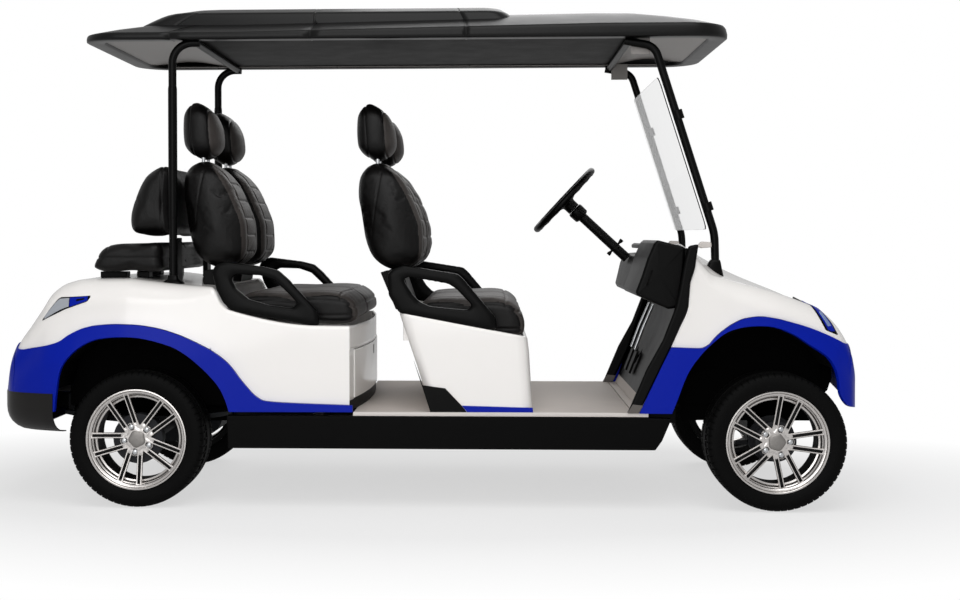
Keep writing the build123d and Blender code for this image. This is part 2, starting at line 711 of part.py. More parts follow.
with BuildPart() as sills:
    top = floor_z - floor_t - gap
    prism(
        [(-738, sill_z), (-742, top), (770, top), (935, 346), (917, 303), (900, 263), (875, sill_z)],
        sill_y - sill_t, sill_y,
    )
    prism(
        [(-700, sill_z - 2), (-700, top - skin), (860, top - skin), (860, sill_z - 2)],
        sill_y - sill_t - 2, sill_y - skin, mode=Mode.SUBTRACT,
    )
    both_sides()
save(sills, "sills")

BASE = placed((
    (-88, 102), (396, 10), (403, -37), (418, floor_z - base_deck), (31, floor_z - base_deck), (-1,
    -176),
), 0, base_deck)
with BuildPart() as seat_base:
    prism(BASE, -body_y, body_y)
    prism(
        [(-42, base_deck - skin), (388, base_deck - skin), (410, 340), (39, 340), (7, 467)],
        -body_y + skin, body_y - skin, mode=Mode.SUBTRACT,
    )
    prism([(-76, base_deck + 160), (-60, base_deck), (500, base_deck), (500, base_deck + 160)],
          -cushion_y - 16, cushion_y + 16, mode=Mode.SUBTRACT)
    for side in (-1, 1):
        prism([(-60, 562), (-32, 562), (2, 468), (87, 457), (149, 392), (500, 382), (500, 300), (-60, 300)],
              min(side * 577, side * 700), max(side * 577, side * 700), mode=Mode.SUBTRACT)
save(seat_base, "seat_base")

with BuildPart() as seat_base_trim:
    prism([(-32, 562), (2, 468), (87, 457), (149, 392), (169, floor_z), (31, floor_z), (-1, 464)],
          577 + gap, body_y + 5)
    both_sides()
save(seat_base_trim, "seat_base_trim")

with BuildPart() as battery_pack:
    block(60, 370, -330, 330, floor_z + gap, base_deck - 40)
save(battery_pack, "battery_pack")

# ---------------------------------------------------------------- seats
CUSHION = placed((
    (-30, gap), (-30, 155), (51, 173), (188, 179), (311, 175), (376, 142), (412, 75), (405, 22),
    (392, gap),
), 0, base_deck)
SECOND_CUSHION = placed((
    (-725, gap), (-725, 122), (-521, 142), (-330, 146), (-253, 133), (-203, 99), (-194, 55), (-205,
    18), (-222, gap),
), 0, well_top)
BACK = placed((
    (-268, 630), (-240, 682), (-140, 676), (-51, 552), (2, 425), (8, 345), (-22, 265), (-180, 250),
    (-222, 327), (-272, 540),
), 0, base_deck)
BENCH = ((-1302, 892), (-1300, 935), (-1275, 985), (-1190, 1009), (-1012, 1009), (-1005, 892))
BENCH_BACK = ((-1172, 1075), (-1150, 1026), (-988, 1026), (-986, 1300), (-1010, 1325), (-1055, 1315),
              (-1110, 1265), (-1155, 1165))

with BuildPart() as front_cushion:
    prism(CUSHION, -cushion_y, cushion_y, corner=14)
save(front_cushion, "front_cushion")

with BuildPart() as second_cushion:
    prism(SECOND_CUSHION, -cushion_y, cushion_y, corner=14)
save(second_cushion, "second_cushion")

ROWS = (
    # name, x shift, z shift
    ("front", 0, 0),
    ("second", -seat_pitch, row_rise),
)
for name, dx, dz in ROWS:
    with BuildPart() as backs:
        for side in (-1, 1):
            low = side * seat_y - seat_w / 2
            prism([(x + dx, z + dz) for x, z in BACK], low, low + seat_w, corner=24)
            with BuildSketch(Plane.XZ.offset(-(side * seat_y + 120))) as pad:
                with Locations((-195 + dx, 1441 + dz)):
                    Ellipse(80, 116, rotation=4)
            extrude(pad.sketch, amount=240, dir=(0, -1, 0))
            for y_post in (-50, 50):
                with Locations((-190 + dx, side * seat_y + y_post, 1330 + dz)):
                    Cylinder(7, 60)
    save(backs, f"{name}_backs")

BENCH_LEGS = (
    # y_low, y_high, x_low, x_high, z_high
    (270, 330, -1296, -1190, BENCH[0][1] - gap),
    (270, 330, -1150, -1100, BENCH[0][1] - gap),
    (260, 340, -1003, -982, BENCH_BACK[1][1] - gap),
)
with BuildPart() as seat_supports:
    for side in (-1, 1):
        low = side * seat_y - 150
        prism(
            placed(((-172, 250.4), (-120, 255.3), (-66, 98.6), (-88, 102.5), (-112, 105)), 0, base_deck),
            low, low + 300,
        )
        prism(
            placed(((-172, 250.4), (-100, 257.2), (-110, 182), (-172, 182)), -seat_pitch, base_deck + row_rise),
            low, low + 300,
        )
        for y_low, y_high, x_low, x_high, z_high in BENCH_LEGS:
            y_ends = sorted((side * y_low, side * y_high))
            block(x_low, x_high, *y_ends, 840, z_high)
    stand_on(DECK)
save(seat_supports, "seat_supports")

ARMS = (
    # outline of the loop, then of the opening inside it, then what it stands on
    (
        placed((
            (-131, 249), (-109, 269), (-72, 282), (-15, 272), (135, 248), (153, 232), (278, 84), (282, 25),
            (-60, 80), (-84, 103), (-109, 124), (-128, 168),
        ), 0, base_deck),
        placed((
            (-72, 232), (-50, 237), (116, 204), (141, 192), (216, 131), (191, 112), (28, 127), (-9, 143),
            (-34, 168),
        ), 0, base_deck),
        BASE[:2],
    ),
    (
        placed((
            (-802, 205), (-788, 234), (-751, 245), (-598, 225), (-547, 212), (-514, 183), (-395, 53),
            (-391, -2), (-729, 50), (-760, 90), (-783, 134),
        ), 0, well_top),
        placed((
            (-734, 182), (-712, 192), (-598, 182), (-500, 148), (-420, 80), (-440, 62), (-640, 77), (-690, 93),
            (-712, 122),
        ), 0, well_top),
        RIM,
    ),
)
arm_in = 544
arm_out = 584
with BuildPart() as armrests:
    for loop, opening, rest in ARMS:
        prism(loop, arm_in, arm_out)
        prism(opening, arm_in - 1, arm_out + 1, mode=Mode.SUBTRACT)
        stand_on(rest)
    both_sides()
save(armrests, "armrests")

with BuildPart() as bench_cushion:
    prism(BENCH, -bench_y, bench_y, corner=8)
save(bench_cushion, "bench_cushion")

with BuildPart() as bench_back:
    prism(BENCH_BACK, -bench_back_y, bench_back_y, corner=8)
save(bench_back, "bench_back")

# ---------------------------------------------------------------- roof
roof_mid = (roof_rear_x + roof_front_x) / 2
ROOF_SECTIONS = (
    # z, in from the rear, in from the front, in from each side, corner radius
    (roof_lip_z, 0, 0, 0, roof_corner),
    (roof_lip_z + roof_lip_h, 0, 0, 0, roof_corner),
    (1878, 110, 110, 90, 120),
    (1920, 190, 230, 155, 90),
)
ROOF_PANEL = (
    (1919, 215, 850, 160, 60),
    (1950, 250, 885, 188, 45),
)


def roof_outline(z, rear, front, sides, corner, inset, drop):
    """Rounded rectangle of the roof at height z, drawn in by inset all round."""
    x_low = roof_rear_x + rear + inset
    x_high = roof_front_x - front - inset
    with BuildSketch(Plane.XY.offset(z - drop)) as outline:
        with Locations(((x_low + x_high) / 2, 0)):
            RectangleRounded(x_high - x_low, 2 * (roof_y - sides - inset), corner - inset)
    return outline.sketch


liner_z = 1797
with BuildPart() as roof:
    loft([roof_outline(*row, 0, 0) for row in ROOF_SECTIONS], ruled=True)
    loft([roof_outline(*row, 0, 0) for row in ROOF_PANEL], ruled=True)
    loft([roof_outline(*row, roof_skin, 1) for row in ROOF_SECTIONS[:1]]
         + [roof_outline(*row, roof_skin, roof_skin) for row in ROOF_SECTIONS[1:]], ruled=True, mode=Mode.SUBTRACT)
    with BuildSketch(Plane.XY.offset(liner_z)) as liner_outline:
        with Locations((roof_mid, 0)):
            inset = roof_skin + gap
            RectangleRounded(roof_front_x - roof_rear_x - 2 * inset, 2 * (roof_y - inset), roof_corner - inset)
    extrude(liner_outline.sketch, amount=5, dir=(0, 0, 1))
save(roof, "roof")


strut_top = liner_z - strut_r - gap
bow_h = 24                    # height of the cross tubes under the roof
bow_z = liner_z - gap - bow_h / 2
CLIPS = (90, 460)
# the glass stands behind the raked run of the front struts, on four clips
rake = (898 - 1112) / (1712 - 1040)
rake_len = sqrt(1 + rake * rake)


def raked(along, off):
    """Point beside the struts' raked run, this far up it and this far behind its axis."""
    return (1112 + (rake * along - off) / rake_len, 1040 + (along + rake * off) / rake_len)


glass_off = strut_r + 4
glass_t = 5
with BuildPart() as front_struts:
    for side in (-1, 1):
        y = side * strut_y
        tube([(1117, y, 880), (1112, y, 1040), (898, y, 1712), (770, y, strut_top)], (300, 110), strut_r)
        prism([(1050, 938), (1080, 860), (1144, 850), (1146, 905), (1132, 932)], y - 20, y + 20)
        for along in CLIPS:
            prism(
                [raked(along, 6), raked(along, glass_off - gap), raked(along + 30, glass_off - gap),
                 raked(along + 30, 6)],
                y - 12, y + 12,
            )
    with Locations((790, 0, bow_z)):
        Box(34, 2 * strut_y, bow_h)
    moulding(FRONT_SECTIONS, gap, mode=Mode.SUBTRACT)
save(front_struts, "front_struts")

with BuildPart() as rear_struts:
    for side in (-1, 1):
        y = side * strut_y
        tube([(rear_strut_x, y, 840), (rear_strut_x, y, 1700), (rear_strut_x + 120, y, strut_top)], (80,), strut_r)
        with Locations((rear_strut_x, y, 850)):
            Cylinder(40, 24)
    with Locations((rear_strut_x + 90, 0, bow_z)):
        Box(34, 2 * strut_y, bow_h)
    stand_on(DECK)
save(rear_struts, "rear_struts")

with BuildPart() as windshield:
    prism(
        [raked(20, glass_off), raked(20, glass_off + glass_t), raked(640, glass_off + glass_t),
         raked(640, glass_off)],
        -strut_y - 4, strut_y + 4,
    )
save(windshield, "windshield")
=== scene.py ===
# %% [markdown]
# # A six-seat electric golf cart
# Two rows face forward, a third looks back, and one long roof stands on four tubes. The steel frame, the
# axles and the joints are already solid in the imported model. This lesson dresses them: the moulded body
# panels, the leather seats, the alloy wheels, the roof and the small fittings are worked out here as
# surfaces, in millimetres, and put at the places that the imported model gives.

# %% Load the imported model
import json
import math

import bmesh
import bpy
import numpy as np
from mathutils import Matrix, Vector


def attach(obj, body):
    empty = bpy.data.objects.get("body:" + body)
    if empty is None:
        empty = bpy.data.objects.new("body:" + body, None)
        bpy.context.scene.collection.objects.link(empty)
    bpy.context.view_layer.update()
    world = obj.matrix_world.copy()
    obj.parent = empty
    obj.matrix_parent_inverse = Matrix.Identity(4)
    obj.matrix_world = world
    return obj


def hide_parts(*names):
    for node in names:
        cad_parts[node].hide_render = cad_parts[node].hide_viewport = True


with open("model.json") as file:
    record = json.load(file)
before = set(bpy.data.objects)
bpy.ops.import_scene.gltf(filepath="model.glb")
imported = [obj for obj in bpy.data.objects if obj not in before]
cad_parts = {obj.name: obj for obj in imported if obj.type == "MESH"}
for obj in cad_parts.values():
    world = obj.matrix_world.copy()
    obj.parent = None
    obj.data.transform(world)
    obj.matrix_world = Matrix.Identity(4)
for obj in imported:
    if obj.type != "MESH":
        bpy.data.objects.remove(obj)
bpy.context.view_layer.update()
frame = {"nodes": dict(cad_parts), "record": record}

# %% [markdown]
# ## Units and colours
# The sizes of a vehicle are read in millimetres, and Blender counts in metres, so one factor turns every
# mesh at the moment it is made. Colours are written as sRGB hex values, as a paint shop gives them, and
# one function turns them to the linear values that the shader adds up.

# %% Units and colours
MM = 0.001


def linear(code):
    """sRGB hex to linear RGBA: c/12.92 below 0.04045, ((c + 0.055)/1.055)^2.4 above."""
    c = np.array([int(code[i:i + 2], 16) for i in (1, 3, 5)]) / 255
    c = np.where(c < 0.04045, c / 12.92, ((c + 0.055) / 1.055) ** 2.4)
    return (*c.tolist(), 1.0)


# %% [markdown]
# ## One way to write a material
# A material is a small graph of nodes. One function adds a node, sets its options and either sets or links
# each of its inputs, so that each recipe below reads like a list. Patterns read Object coordinates, which
# are metres on the real cart, so a grain of 0.8 mm is a scale of 1/0.0008.

# %% A helper for nodes
def add(tree, kind, inputs=None, **settings):
    """Adds a node; inputs maps socket names or numbers to a value, or to another node's output to link."""
    made = tree.nodes.new(kind)
    for key, value in settings.items():
        setattr(made, key, value)
    for key, value in (inputs or {}).items():
        socket = made.inputs[key]
        if isinstance(value, bpy.types.NodeSocket):
            tree.links.new(value, socket)
        else:
            socket.default_value = value
    return made


def blank(name):
    """New material with an empty tree: the material, its tree and the Object coordinates."""
    made = bpy.data.materials.new(name)
    made.use_nodes = True
    tree = made.node_tree
    tree.nodes.clear()
    return made, tree, add(tree, "ShaderNodeTexCoord").outputs["Object"]


def tinted(tree, base, share, low, high):
    """Colour that a noise shifts between low and high times the base."""
    dark, light = (tuple(min(1.0, c * f) for c in base[:3]) + (1.0,) for f in (low, high))
    return add(tree, "ShaderNodeMix", {0: share, 6: dark, 7: light}, data_type="RGBA").outputs[2]


def finish(name, colour, rough, metal=0.0, coat=0.0, grain_mm=0.0, bump_mm=0.0, mottle=0.0, **more):
    """Principled finish. Mottle shifts the colour over hand-sized patches, and grain gives bump and roughness.

    With noise n from 0 to 1, colour = colour * (1 + mottle * (2n - 1)), roughness = rough * (0.86 + 0.28n),
    and height = bump * grain noise.
    """
    made, tree, place = blank(name)
    skin = add(tree, "ShaderNodeBsdfPrincipled", {"Metallic": metal, "Coat Weight": coat, "Coat Roughness": 0.06})
    for key, value in more.items():
        skin.inputs[key.replace("_", " ")].default_value = value
    base = linear(colour)
    patch = add(tree, "ShaderNodeTexNoise", {"Vector": place, "Scale": 9.0, "Detail": 4.0, "Roughness": 0.6})
    if mottle:
        tree.links.new(tinted(tree, base, patch.outputs["Fac"], 1 - mottle, 1 + mottle), skin.inputs["Base Color"])
    else:
        skin.inputs["Base Color"].default_value = base
    spread = add(tree, "ShaderNodeMapRange",
                 {"Value": patch.outputs["Fac"], "To Min": rough * 0.86, "To Max": min(1.0, rough * 1.14)})
    tree.links.new(spread.outputs["Result"], skin.inputs["Roughness"])
    if bump_mm:
        grit = add(tree, "ShaderNodeTexNoise", {"Vector": place, "Scale": 1 / (grain_mm * MM), "Detail": 3.0})
        bump = add(tree, "ShaderNodeBump", {"Height": grit.outputs["Fac"], "Distance": bump_mm * MM, "Strength": 1.0})
        tree.links.new(bump.outputs["Normal"], skin.inputs["Normal"])
    add(tree, "ShaderNodeOutputMaterial", {"Surface": skin.outputs["BSDF"]})
    made.diffuse_color = base
    print("material", name)
    return made


# %% [markdown]
# ## Paint, plastic, rubber and metal
# The outer panels are injection moulded polypropylene, painted: a base colour under clear lacquer, whose
# orange peel is about 3 mm wide and a few micrometres high. The roof and trims are ABS with a moulded
# leather-like grain of under a millimetre. The tubes are powder coated, with a fine pebble. Tyres are
# carbon-black rubber, dull and slightly grey where they have been handled.

# %% Finishes of the hard parts
white_paint = finish("painted_polypropylene_white", "#FBF8F5", 0.22, coat=0.6, grain_mm=3.0, bump_mm=0.012)
blue_paint = finish("painted_polypropylene_blue", "#001CA0", 0.34, grain_mm=3.0, bump_mm=0.012,
                    Specular_IOR_Level=0.12)
roof_plastic = finish("abs_sheet_black_satin", "#0A0A0A", 0.34, grain_mm=2.2, bump_mm=0.02, mottle=0.15,
                      Specular_IOR_Level=0.2)
grained_plastic = finish("abs_moulded_black_grain", "#040404", 0.46, grain_mm=1.1, bump_mm=0.06, mottle=0.1,
                         Specular_IOR_Level=0.06)
smooth_plastic = finish("abs_black_satin", "#040404", 0.32, grain_mm=1.6, bump_mm=0.02, mottle=0.1,
                        Specular_IOR_Level=0.09)
soft_rubber = finish("polyurethane_foam_skin_black", "#070707", 0.55, grain_mm=0.8, bump_mm=0.10, mottle=0.2,
                     Specular_IOR_Level=0.2)
powder_coat = finish("powder_coated_steel_black", "#040404", 0.38, grain_mm=0.9, bump_mm=0.03, mottle=0.1,
                     Specular_IOR_Level=0.08)
cast_iron = finish("cast_iron_painted_dark", "#26272A", 0.6, metal=0.3, grain_mm=2.5, bump_mm=0.25, mottle=0.3,
                   Specular_IOR_Level=0.2)
spring_steel = finish("spring_steel_painted", "#1D1E20", 0.5, metal=0.4, grain_mm=2.0, bump_mm=0.1, mottle=0.3,
                      Specular_IOR_Level=0.2)
tyre_rubber = finish("vulcanised_rubber_black", "#060606", 0.6, grain_mm=1.6, bump_mm=0.12, mottle=0.2,
                     Specular_IOR_Level=0.07)
alloy = finish("cast_aluminium_silver_lacquer", "#D2CECB", 0.27, metal=1.0, grain_mm=2.0, bump_mm=0.01)
alloy_dark = finish("cast_aluminium_grey_lacquer", "#8E8B88", 0.5, metal=1.0, grain_mm=2.0, bump_mm=0.02)
# Black alloy for the barrel's inside and the spoke grooves: painted shade in these hollows.
painted_shade_alloy = finish("cast_aluminium_black_painted_shade", "#0B0B0B", 0.45, grain_mm=2.0, bump_mm=0.02,
                     Specular_IOR_Level=0.12)
dark_chrome = finish("black_zinc_steel", "#3A3B3E", 0.3, metal=1.0, grain_mm=1.5, bump_mm=0.02)
bright_steel = finish("zinc_plated_steel", "#C4C6C8", 0.28, metal=1.0, grain_mm=1.5, bump_mm=0.02)
battery_case = finish("polypropylene_battery_case", "#17181B", 0.5, grain_mm=1.5, bump_mm=0.05, mottle=0.2,
                      Specular_IOR_Level=0.2)

# %% [markdown]
# The floor is covered by a grey rubber mat with a fine leather grain; light dust makes it slightly uneven.

# %% Floor mat, glass and plain leather
floor_mat = finish("floor_mat_vinyl_grey", "#8E8B88", 0.62, grain_mm=1.8, bump_mm=0.15, mottle=0.12)
clear_glass = finish("polycarbonate_sheet_clear", "#FFFFFF", 0.02, Transmission_Weight=1.0, IOR=1.12)
leather = finish("leather_black", "#0E0D0C", 0.42, grain_mm=2.2, bump_mm=0.25, mottle=0.25,
                 Specular_IOR_Level=0.35)

# %% [markdown]
# A solid that no new piece covers keeps its own triangles and gets the finish that its slot in the record names.

# %% Give every solid its finish
FINISH_OF = {
    "frame_black": powder_coat, "cast_dark": cast_iron, "spring_steel": spring_steel, "battery": battery_case,
    "black_plastic": grained_plastic, "floor_mat": floor_mat, "white_paint": white_paint,
    "blue_paint": blue_paint, "lamp_lens": smooth_plastic, "leather": leather, "black_roof": roof_plastic,
    "clear_glass": clear_glass, "soft_black": soft_rubber, "tyre_rubber": tyre_rubber, "alloy": alloy,
}
for part in frame["record"]["subparts"]:
    solid = frame["nodes"].get(part["node"])
    if solid is not None:
        for slot in solid.material_slots:
            slot.material = FINISH_OF[part["material_slot"]]

# %% [markdown]
# ## Curves, grids and pieces
# A moulded panel is smooth because a stylist's curve is smooth: it passes through a few known points and
# never wriggles between them. A panel could be modelled by hand with a subdivision cage, or cut from a
# solid with booleans. Here each one is a formula of two parameters, because then the panel, the cut of its
# wheel arch and the step of the coloured flare all follow the same curve exactly.

# %% A curve through a few points
def through(points):
    """f(x): cubic Hermite pieces; each inner slope is the harmonic mean of the chords beside it, or 0 at a turn."""
    x, y = np.array(sorted(points), float).T
    h = np.diff(x)
    d = np.diff(y) / h
    m = np.concatenate([d[:1], np.zeros(len(x) - 2), d[-1:]])
    same = d[1:] * d[:-1] > 0
    total = np.where(same, d[1:] + d[:-1], 1.0)
    m[1:-1] = np.where(same, 2 * d[1:] * d[:-1] / total, 0.0)

    def f(q):
        q = np.clip(np.asarray(q, float), x[0], x[-1])
        i = np.clip(np.searchsorted(x, q) - 1, 0, len(h) - 1)
        t = (q - x[i]) / h[i]
        return ((1 + 2 * t) * (1 - t) ** 2 * y[i] + t * (1 - t) ** 2 * h[i] * m[i]
                + t * t * (3 - 2 * t) * y[i + 1] + t * t * (t - 1) * h[i] * m[i + 1])
    return f


def spline(points, count, closed=False):
    """Catmull-Rom curve through points, sampled at count places evenly spaced along its length."""
    p = np.array(points, float)
    if closed:
        p = np.concatenate([p[-1:], p, p[:2]])
    else:
        p = np.concatenate([2 * p[:1] - p[1:2], p, 2 * p[-1:] - p[-2:-1]])
    t = np.linspace(0, 1, 24, endpoint=False)[:, None]
    a, b, c, d = (p[i:len(p) - 3 + i, None, :] for i in range(4))
    fine = 0.5 * (2 * b + (c - a) * t + (2 * a - 5 * b + 4 * c - d) * t ** 2 + (3 * b - a - 3 * c + d) * t ** 3)
    fine = fine.reshape(-1, p.shape[1])
    fine = np.concatenate([fine, p[-2:-1]])
    run = np.concatenate([[0], np.cumsum(np.linalg.norm(np.diff(fine, axis=0), axis=1))])
    at = np.linspace(0, run[-1], count, endpoint=not closed)
    return np.stack([np.interp(at, run, fine[:, k]) for k in range(p.shape[1])], 1)


def ease(t):
    """Smooth step: 3t^2 - 2t^3, flat at both ends."""
    t = np.clip(t, 0, 1)
    return t * t * (3 - 2 * t)


# %% [markdown]
# A piece is one or more grids. Their seams are welded, the faces are turned outwards, and modifiers add the
# wall and the rounded edges, so a flat grid is enough to draw a moulded part.

# %% From grids of points to a finished piece
def quads(rows, cols, around, along):
    """Corner numbers of every face of a grid; around closes the columns on themselves, along the rows."""
    i = np.arange(rows if along else rows - 1)[:, None]
    j = np.arange(cols if around else cols - 1)[None, :]
    i2, j2 = (i + 1) % rows, (j + 1) % cols
    return np.stack([i * cols + j, i2 * cols + j, i2 * cols + j2, i * cols + j2], -1).reshape(-1, 4)


def piece(name, grids, material, body="chassis", away=None, thick=0.0, round_mm=0.0, sharp=50, replaces=(),
          both=False, weld=0.02):
    """One object from grids of points in millimetres, each (rows, columns, 3) or (points, around, along).

    both adds the copy with Y turned to minus Y. away is a point inside an open skin: its faces turn from it.
    thick gives the skin a wall inwards and round_mm rounds its edges.
    """
    corners, faces, count = [], [], 0
    for grid in grids:
        points, around, along = grid if isinstance(grid, tuple) else (grid, False, False)
        for side in ((1, -1) if both else (1,)):
            flat = points.reshape(-1, 3) * (1, side, 1)
            faces.append(quads(points.shape[0], points.shape[1], around, along) + count)
            corners.append(flat)
            count += len(flat)
    mesh = bpy.data.meshes.new(name)
    mesh.from_pydata((np.concatenate(corners) * MM).tolist(), [], np.concatenate(faces).tolist())
    work = bmesh.new()
    work.from_mesh(mesh)
    bmesh.ops.remove_doubles(work, verts=work.verts, dist=weld * MM)
    bmesh.ops.dissolve_degenerate(work, dist=0.005 * MM, edges=work.edges)
    bmesh.ops.recalc_face_normals(work, faces=work.faces)
    if away is not None:
        centre = Vector(away) * MM
        mirror = Vector((centre.x, -centre.y, centre.z))
        lean = 0.0
        for face in work.faces:
            middle = face.calc_center_median()
            inside = mirror if (both and middle.y * centre.y < 0) else centre
            lean += (middle - inside).dot(face.normal) * face.calc_area()
        if lean < 0:
            bmesh.ops.reverse_faces(work, faces=work.faces)
    work.to_mesh(mesh)
    work.free()
    return dress(name, mesh, material, body, thick, round_mm, 2, sharp, replaces)


def dress(name, mesh, material, body, thick, round_mm, rings, sharp, replaces):
    """Puts a mesh into the scene with its wall, edges rounded in so many rings, finish and body."""
    made = bpy.data.objects.new(name, mesh)
    bpy.context.scene.collection.objects.link(made)
    mesh.materials.append(material)
    mesh.shade_smooth()
    mesh.set_sharp_from_angle(angle=math.radians(sharp))
    if thick:
        wall = made.modifiers.new("wall", "SOLIDIFY")
        wall.thickness, wall.offset, wall.use_even_offset = thick * MM, -1.0, False
    if round_mm:
        edge = made.modifiers.new("edge", "BEVEL")
        edge.width, edge.segments, edge.limit_method = round_mm * MM, rings, "ANGLE"
        edge.angle_limit = math.radians(35)
        edge.use_clamp_overlap = True
        made.modifiers.new("normals", "WEIGHTED_NORMAL").keep_sharp = True
    if replaces:
        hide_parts(*replaces)
    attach(made, body)
    return made


# %% [markdown]
# Some pieces are right as solids and only look too sharp: a moulded edge has a radius of a few millimetres
# that catches the light. Their triangles are copied, merged back to whole faces and given that radius.

# %% Rounded copies of plain solids
def rounded(node, material, round_mm):
    """Copy of a solid with its triangles merged into flat faces and its edges rounded."""
    mesh = frame["nodes"][node].data.copy()
    work = bmesh.new()
    work.from_mesh(mesh)
    bmesh.ops.remove_doubles(work, verts=work.verts, dist=0.02 * MM)
    bmesh.ops.dissolve_limit(work, angle_limit=math.radians(1.0), verts=work.verts, edges=work.edges)
    work.to_mesh(mesh)
    work.free()
    mesh.materials.clear()
    return dress(f"{node}_rounded", mesh, material, "chassis", 0, round_mm, 3, 40, (node,))


# %% [markdown]
# ## The moulded body
# A car body is drawn as a family of cross-sections: the side rises from the sill, leans in over the wheels,
# turns through a round shoulder and crosses the car as a low crown. Six numbers describe each section, and
# the curve above carries every number from one section to the next.

# %% Cross-sections of the body
LOW = 366.0


def family(rows):
    """Surface of sections: (x, s, grow) to a point, for s 0..1 up the side, 1..2 shoulder, 2..3 to the middle.

    Side: y = half + grow - lean * ease((t - 0.45) / 0.55), shoulder: an arc of radius r + grow, crown:
    z = top + rise * (1 - (y / y_shoulder)^2)^2.
    """
    columns = np.array(rows, float).T
    half, lean, top, shoulder, rise = (through(list(zip(columns[0], c))) for c in columns[1:])

    def at(x, s, grow=0.0):
        w, a, z1, r, c = half(x), lean(x), top(x), shoulder(x), rise(x)
        t = np.clip(s, 0, 1)
        turn = np.clip(s - 1, 0, 1) * np.pi / 2
        over = np.clip(s - 2, 0, 1)
        y = np.where(s <= 1, w + grow - a * ease((t - 0.45) / 0.55), w - a - r + (r + grow) * np.cos(turn))
        z = np.where(s <= 1, LOW + t * (z1 - r - LOW), z1 - r + (r + grow) * np.sin(turn))
        y = y * (1 - over)
        z = z + c * (1 - (1 - over) ** 2) ** 2
        return np.stack([x + 0 * y, -y, z], -1)

    def level(x, z):
        """The s at which the section at x reaches height z."""
        z1, r, c = top(x), shoulder(x), rise(x)
        side = np.clip((z - LOW) / (z1 - r - LOW), 0, 1)
        arc = np.arcsin(np.clip((z - z1 + r) / r, 0, 1)) / (np.pi / 2)
        part = np.clip((z - z1) / np.maximum(c, 1e-6), 0, 1)
        return side + arc + (1 - np.sqrt(1 - np.sqrt(part)))

    return at, level, top


REAR = (
    # x, half width, lean, top, shoulder radius, rise of the crown
    (-200, 583, 0, 690, 12, 0), (-411, 585, 0, 693, 12, 0), (-732, 592, 2, 751, 12, 0),
    (-764, 594, 3, 778, 14, 0), (-786, 595, 4, 822, 20, 0), (-801, 596, 5, 838, 30, 0),
    (-860, 601, 10, 842, 58, 0), (-922, 607, 16, 846, 76, 0), (-1087, 622, 28, 864, 96, 0),
    (-1131, 623, 30, 869, 98, 0), (-1312, 618, 36, 866, 108, 2), (-1384, 610, 38, 850, 112, 10),
    (-1437, 598, 36, 816, 108, 14), (-1480, 582, 32, 755, 100, 14), (-1530, 560, 24, 684, 90, 14),
    (-1570, 536, 14, 630, 80, 12), (-1600, 508, 6, 566, 60, 10), (-1631, 450, 0, 450, 40, 6),
)
FRONT = (
    (770, 588, 2, 1004, 50, 0), (1010, 592, 6, 985, 50, 12), (1035, 592, 8, 955, 56, 44),
    (1060, 593, 10, 924, 62, 76), (1095, 595, 12, 890, 68, 100), (1136, 599, 16, 874, 76, 66),
    (1168, 603, 20, 864, 82, 40), (1250, 614, 28, 842, 90, 28), (1327, 622, 34, 820, 96, 26),
    (1420, 618, 38, 788, 96, 26), (1503, 606, 36, 752, 92, 26), (1550, 592, 28, 712, 86, 26),
    (1590, 570, 18, 660, 78, 22), (1615, 548, 10, 606, 66, 18), (1631, 515, 0, 540, 50, 10),
)
rear_at, rear_level, rear_top = family(REAR)
front_at, front_level = family(FRONT)[:2]
rear_flare = through(((-1640, 590), (-1560, 594), (-1500, 604), (-1444, 614), (-1389, 630), (-1342, 660),
                      (-1287, 684), (-1232, 695), (-1162, 699), (-1084, 696), (-1006, 684), (-929, 661), (-851, 627),
                      (-782, 588), (-735, 550), (-678, 477), (-628, 424), (-597, 408), (-512, 401), (-264, 392)))
front_flare = through(((780, 616), (930, 615), (1040, 612), (1068, 622), (1096, 653), (1124, 678),
                       (1166, 706), (1208, 724), (1265, 731), (1321, 724), (1377, 710), (1447, 689),
                       (1517, 661), (1552, 643), (1590, 622), (1645, 606)))
REAR_ARCH = ((-1398, 366), (-1392, 420), (-1379, 504), (-1360, 550), (-1320, 596), (-1266, 631), (-1204, 647),
             (-1110, 650), (-1033, 639), (-948, 613), (-894, 582), (-848, 544), (-809, 506), (-771, 460),
             (-748, 414), (-733, 366))
FRONT_ARCH = ((936, 366), (956, 416), (995, 516), (1044, 587), (1093, 636), (1142, 672), (1205, 691),
              (1275, 695), (1331, 687), (1394, 660), (1443, 628), (1485, 602), (1520, 574), (1544, 532),
              (1553, 490), (1560, 440), (1590, 400), (1631, 385))
cowl_front = through(((366, 815), (544, 899), (614, 933), (683, 964), (766, 998), (856, 1005), (911, 1022),
                      (985, 1034), (1100, 1040)))


def columns_of(arch, before, after, spread=70):
    """x and lower edge of each column: runs before the arch and after it, and the arch by its own length."""
    curve = spline(arch, spread)
    x = np.concatenate([before[before < curve[0, 0] - 1], curve[:, 0], after[after > curve[-1, 0] + 1]])
    z = np.concatenate([np.full((before < curve[0, 0] - 1).sum(), LOW), np.maximum(curve[:, 1], LOW),
                        np.full((after > curve[-1, 0] + 1).sum(), max(LOW, arch[-1][1]))])
    return x, z


def panel(at, x, s_low, s_high, count, grow=0.0):
    """Grid of a panel: each column x runs from s_low(x) to s_high(x)."""
    v = np.linspace(0, 1, count)[None, :]
    s = s_low[:, None] + (s_high - s_low)[:, None] * v
    return at(np.broadcast_to(x[:, None], s.shape), s, grow)


# %% [markdown]
# ### White and blue panels at the back
# The white moulding runs over the deck and down both sides of the second-row base; the blue one wraps the
# lower edge, the wheel arches and the tail, and stands 12 mm proud of it. Both are cut along one curve.

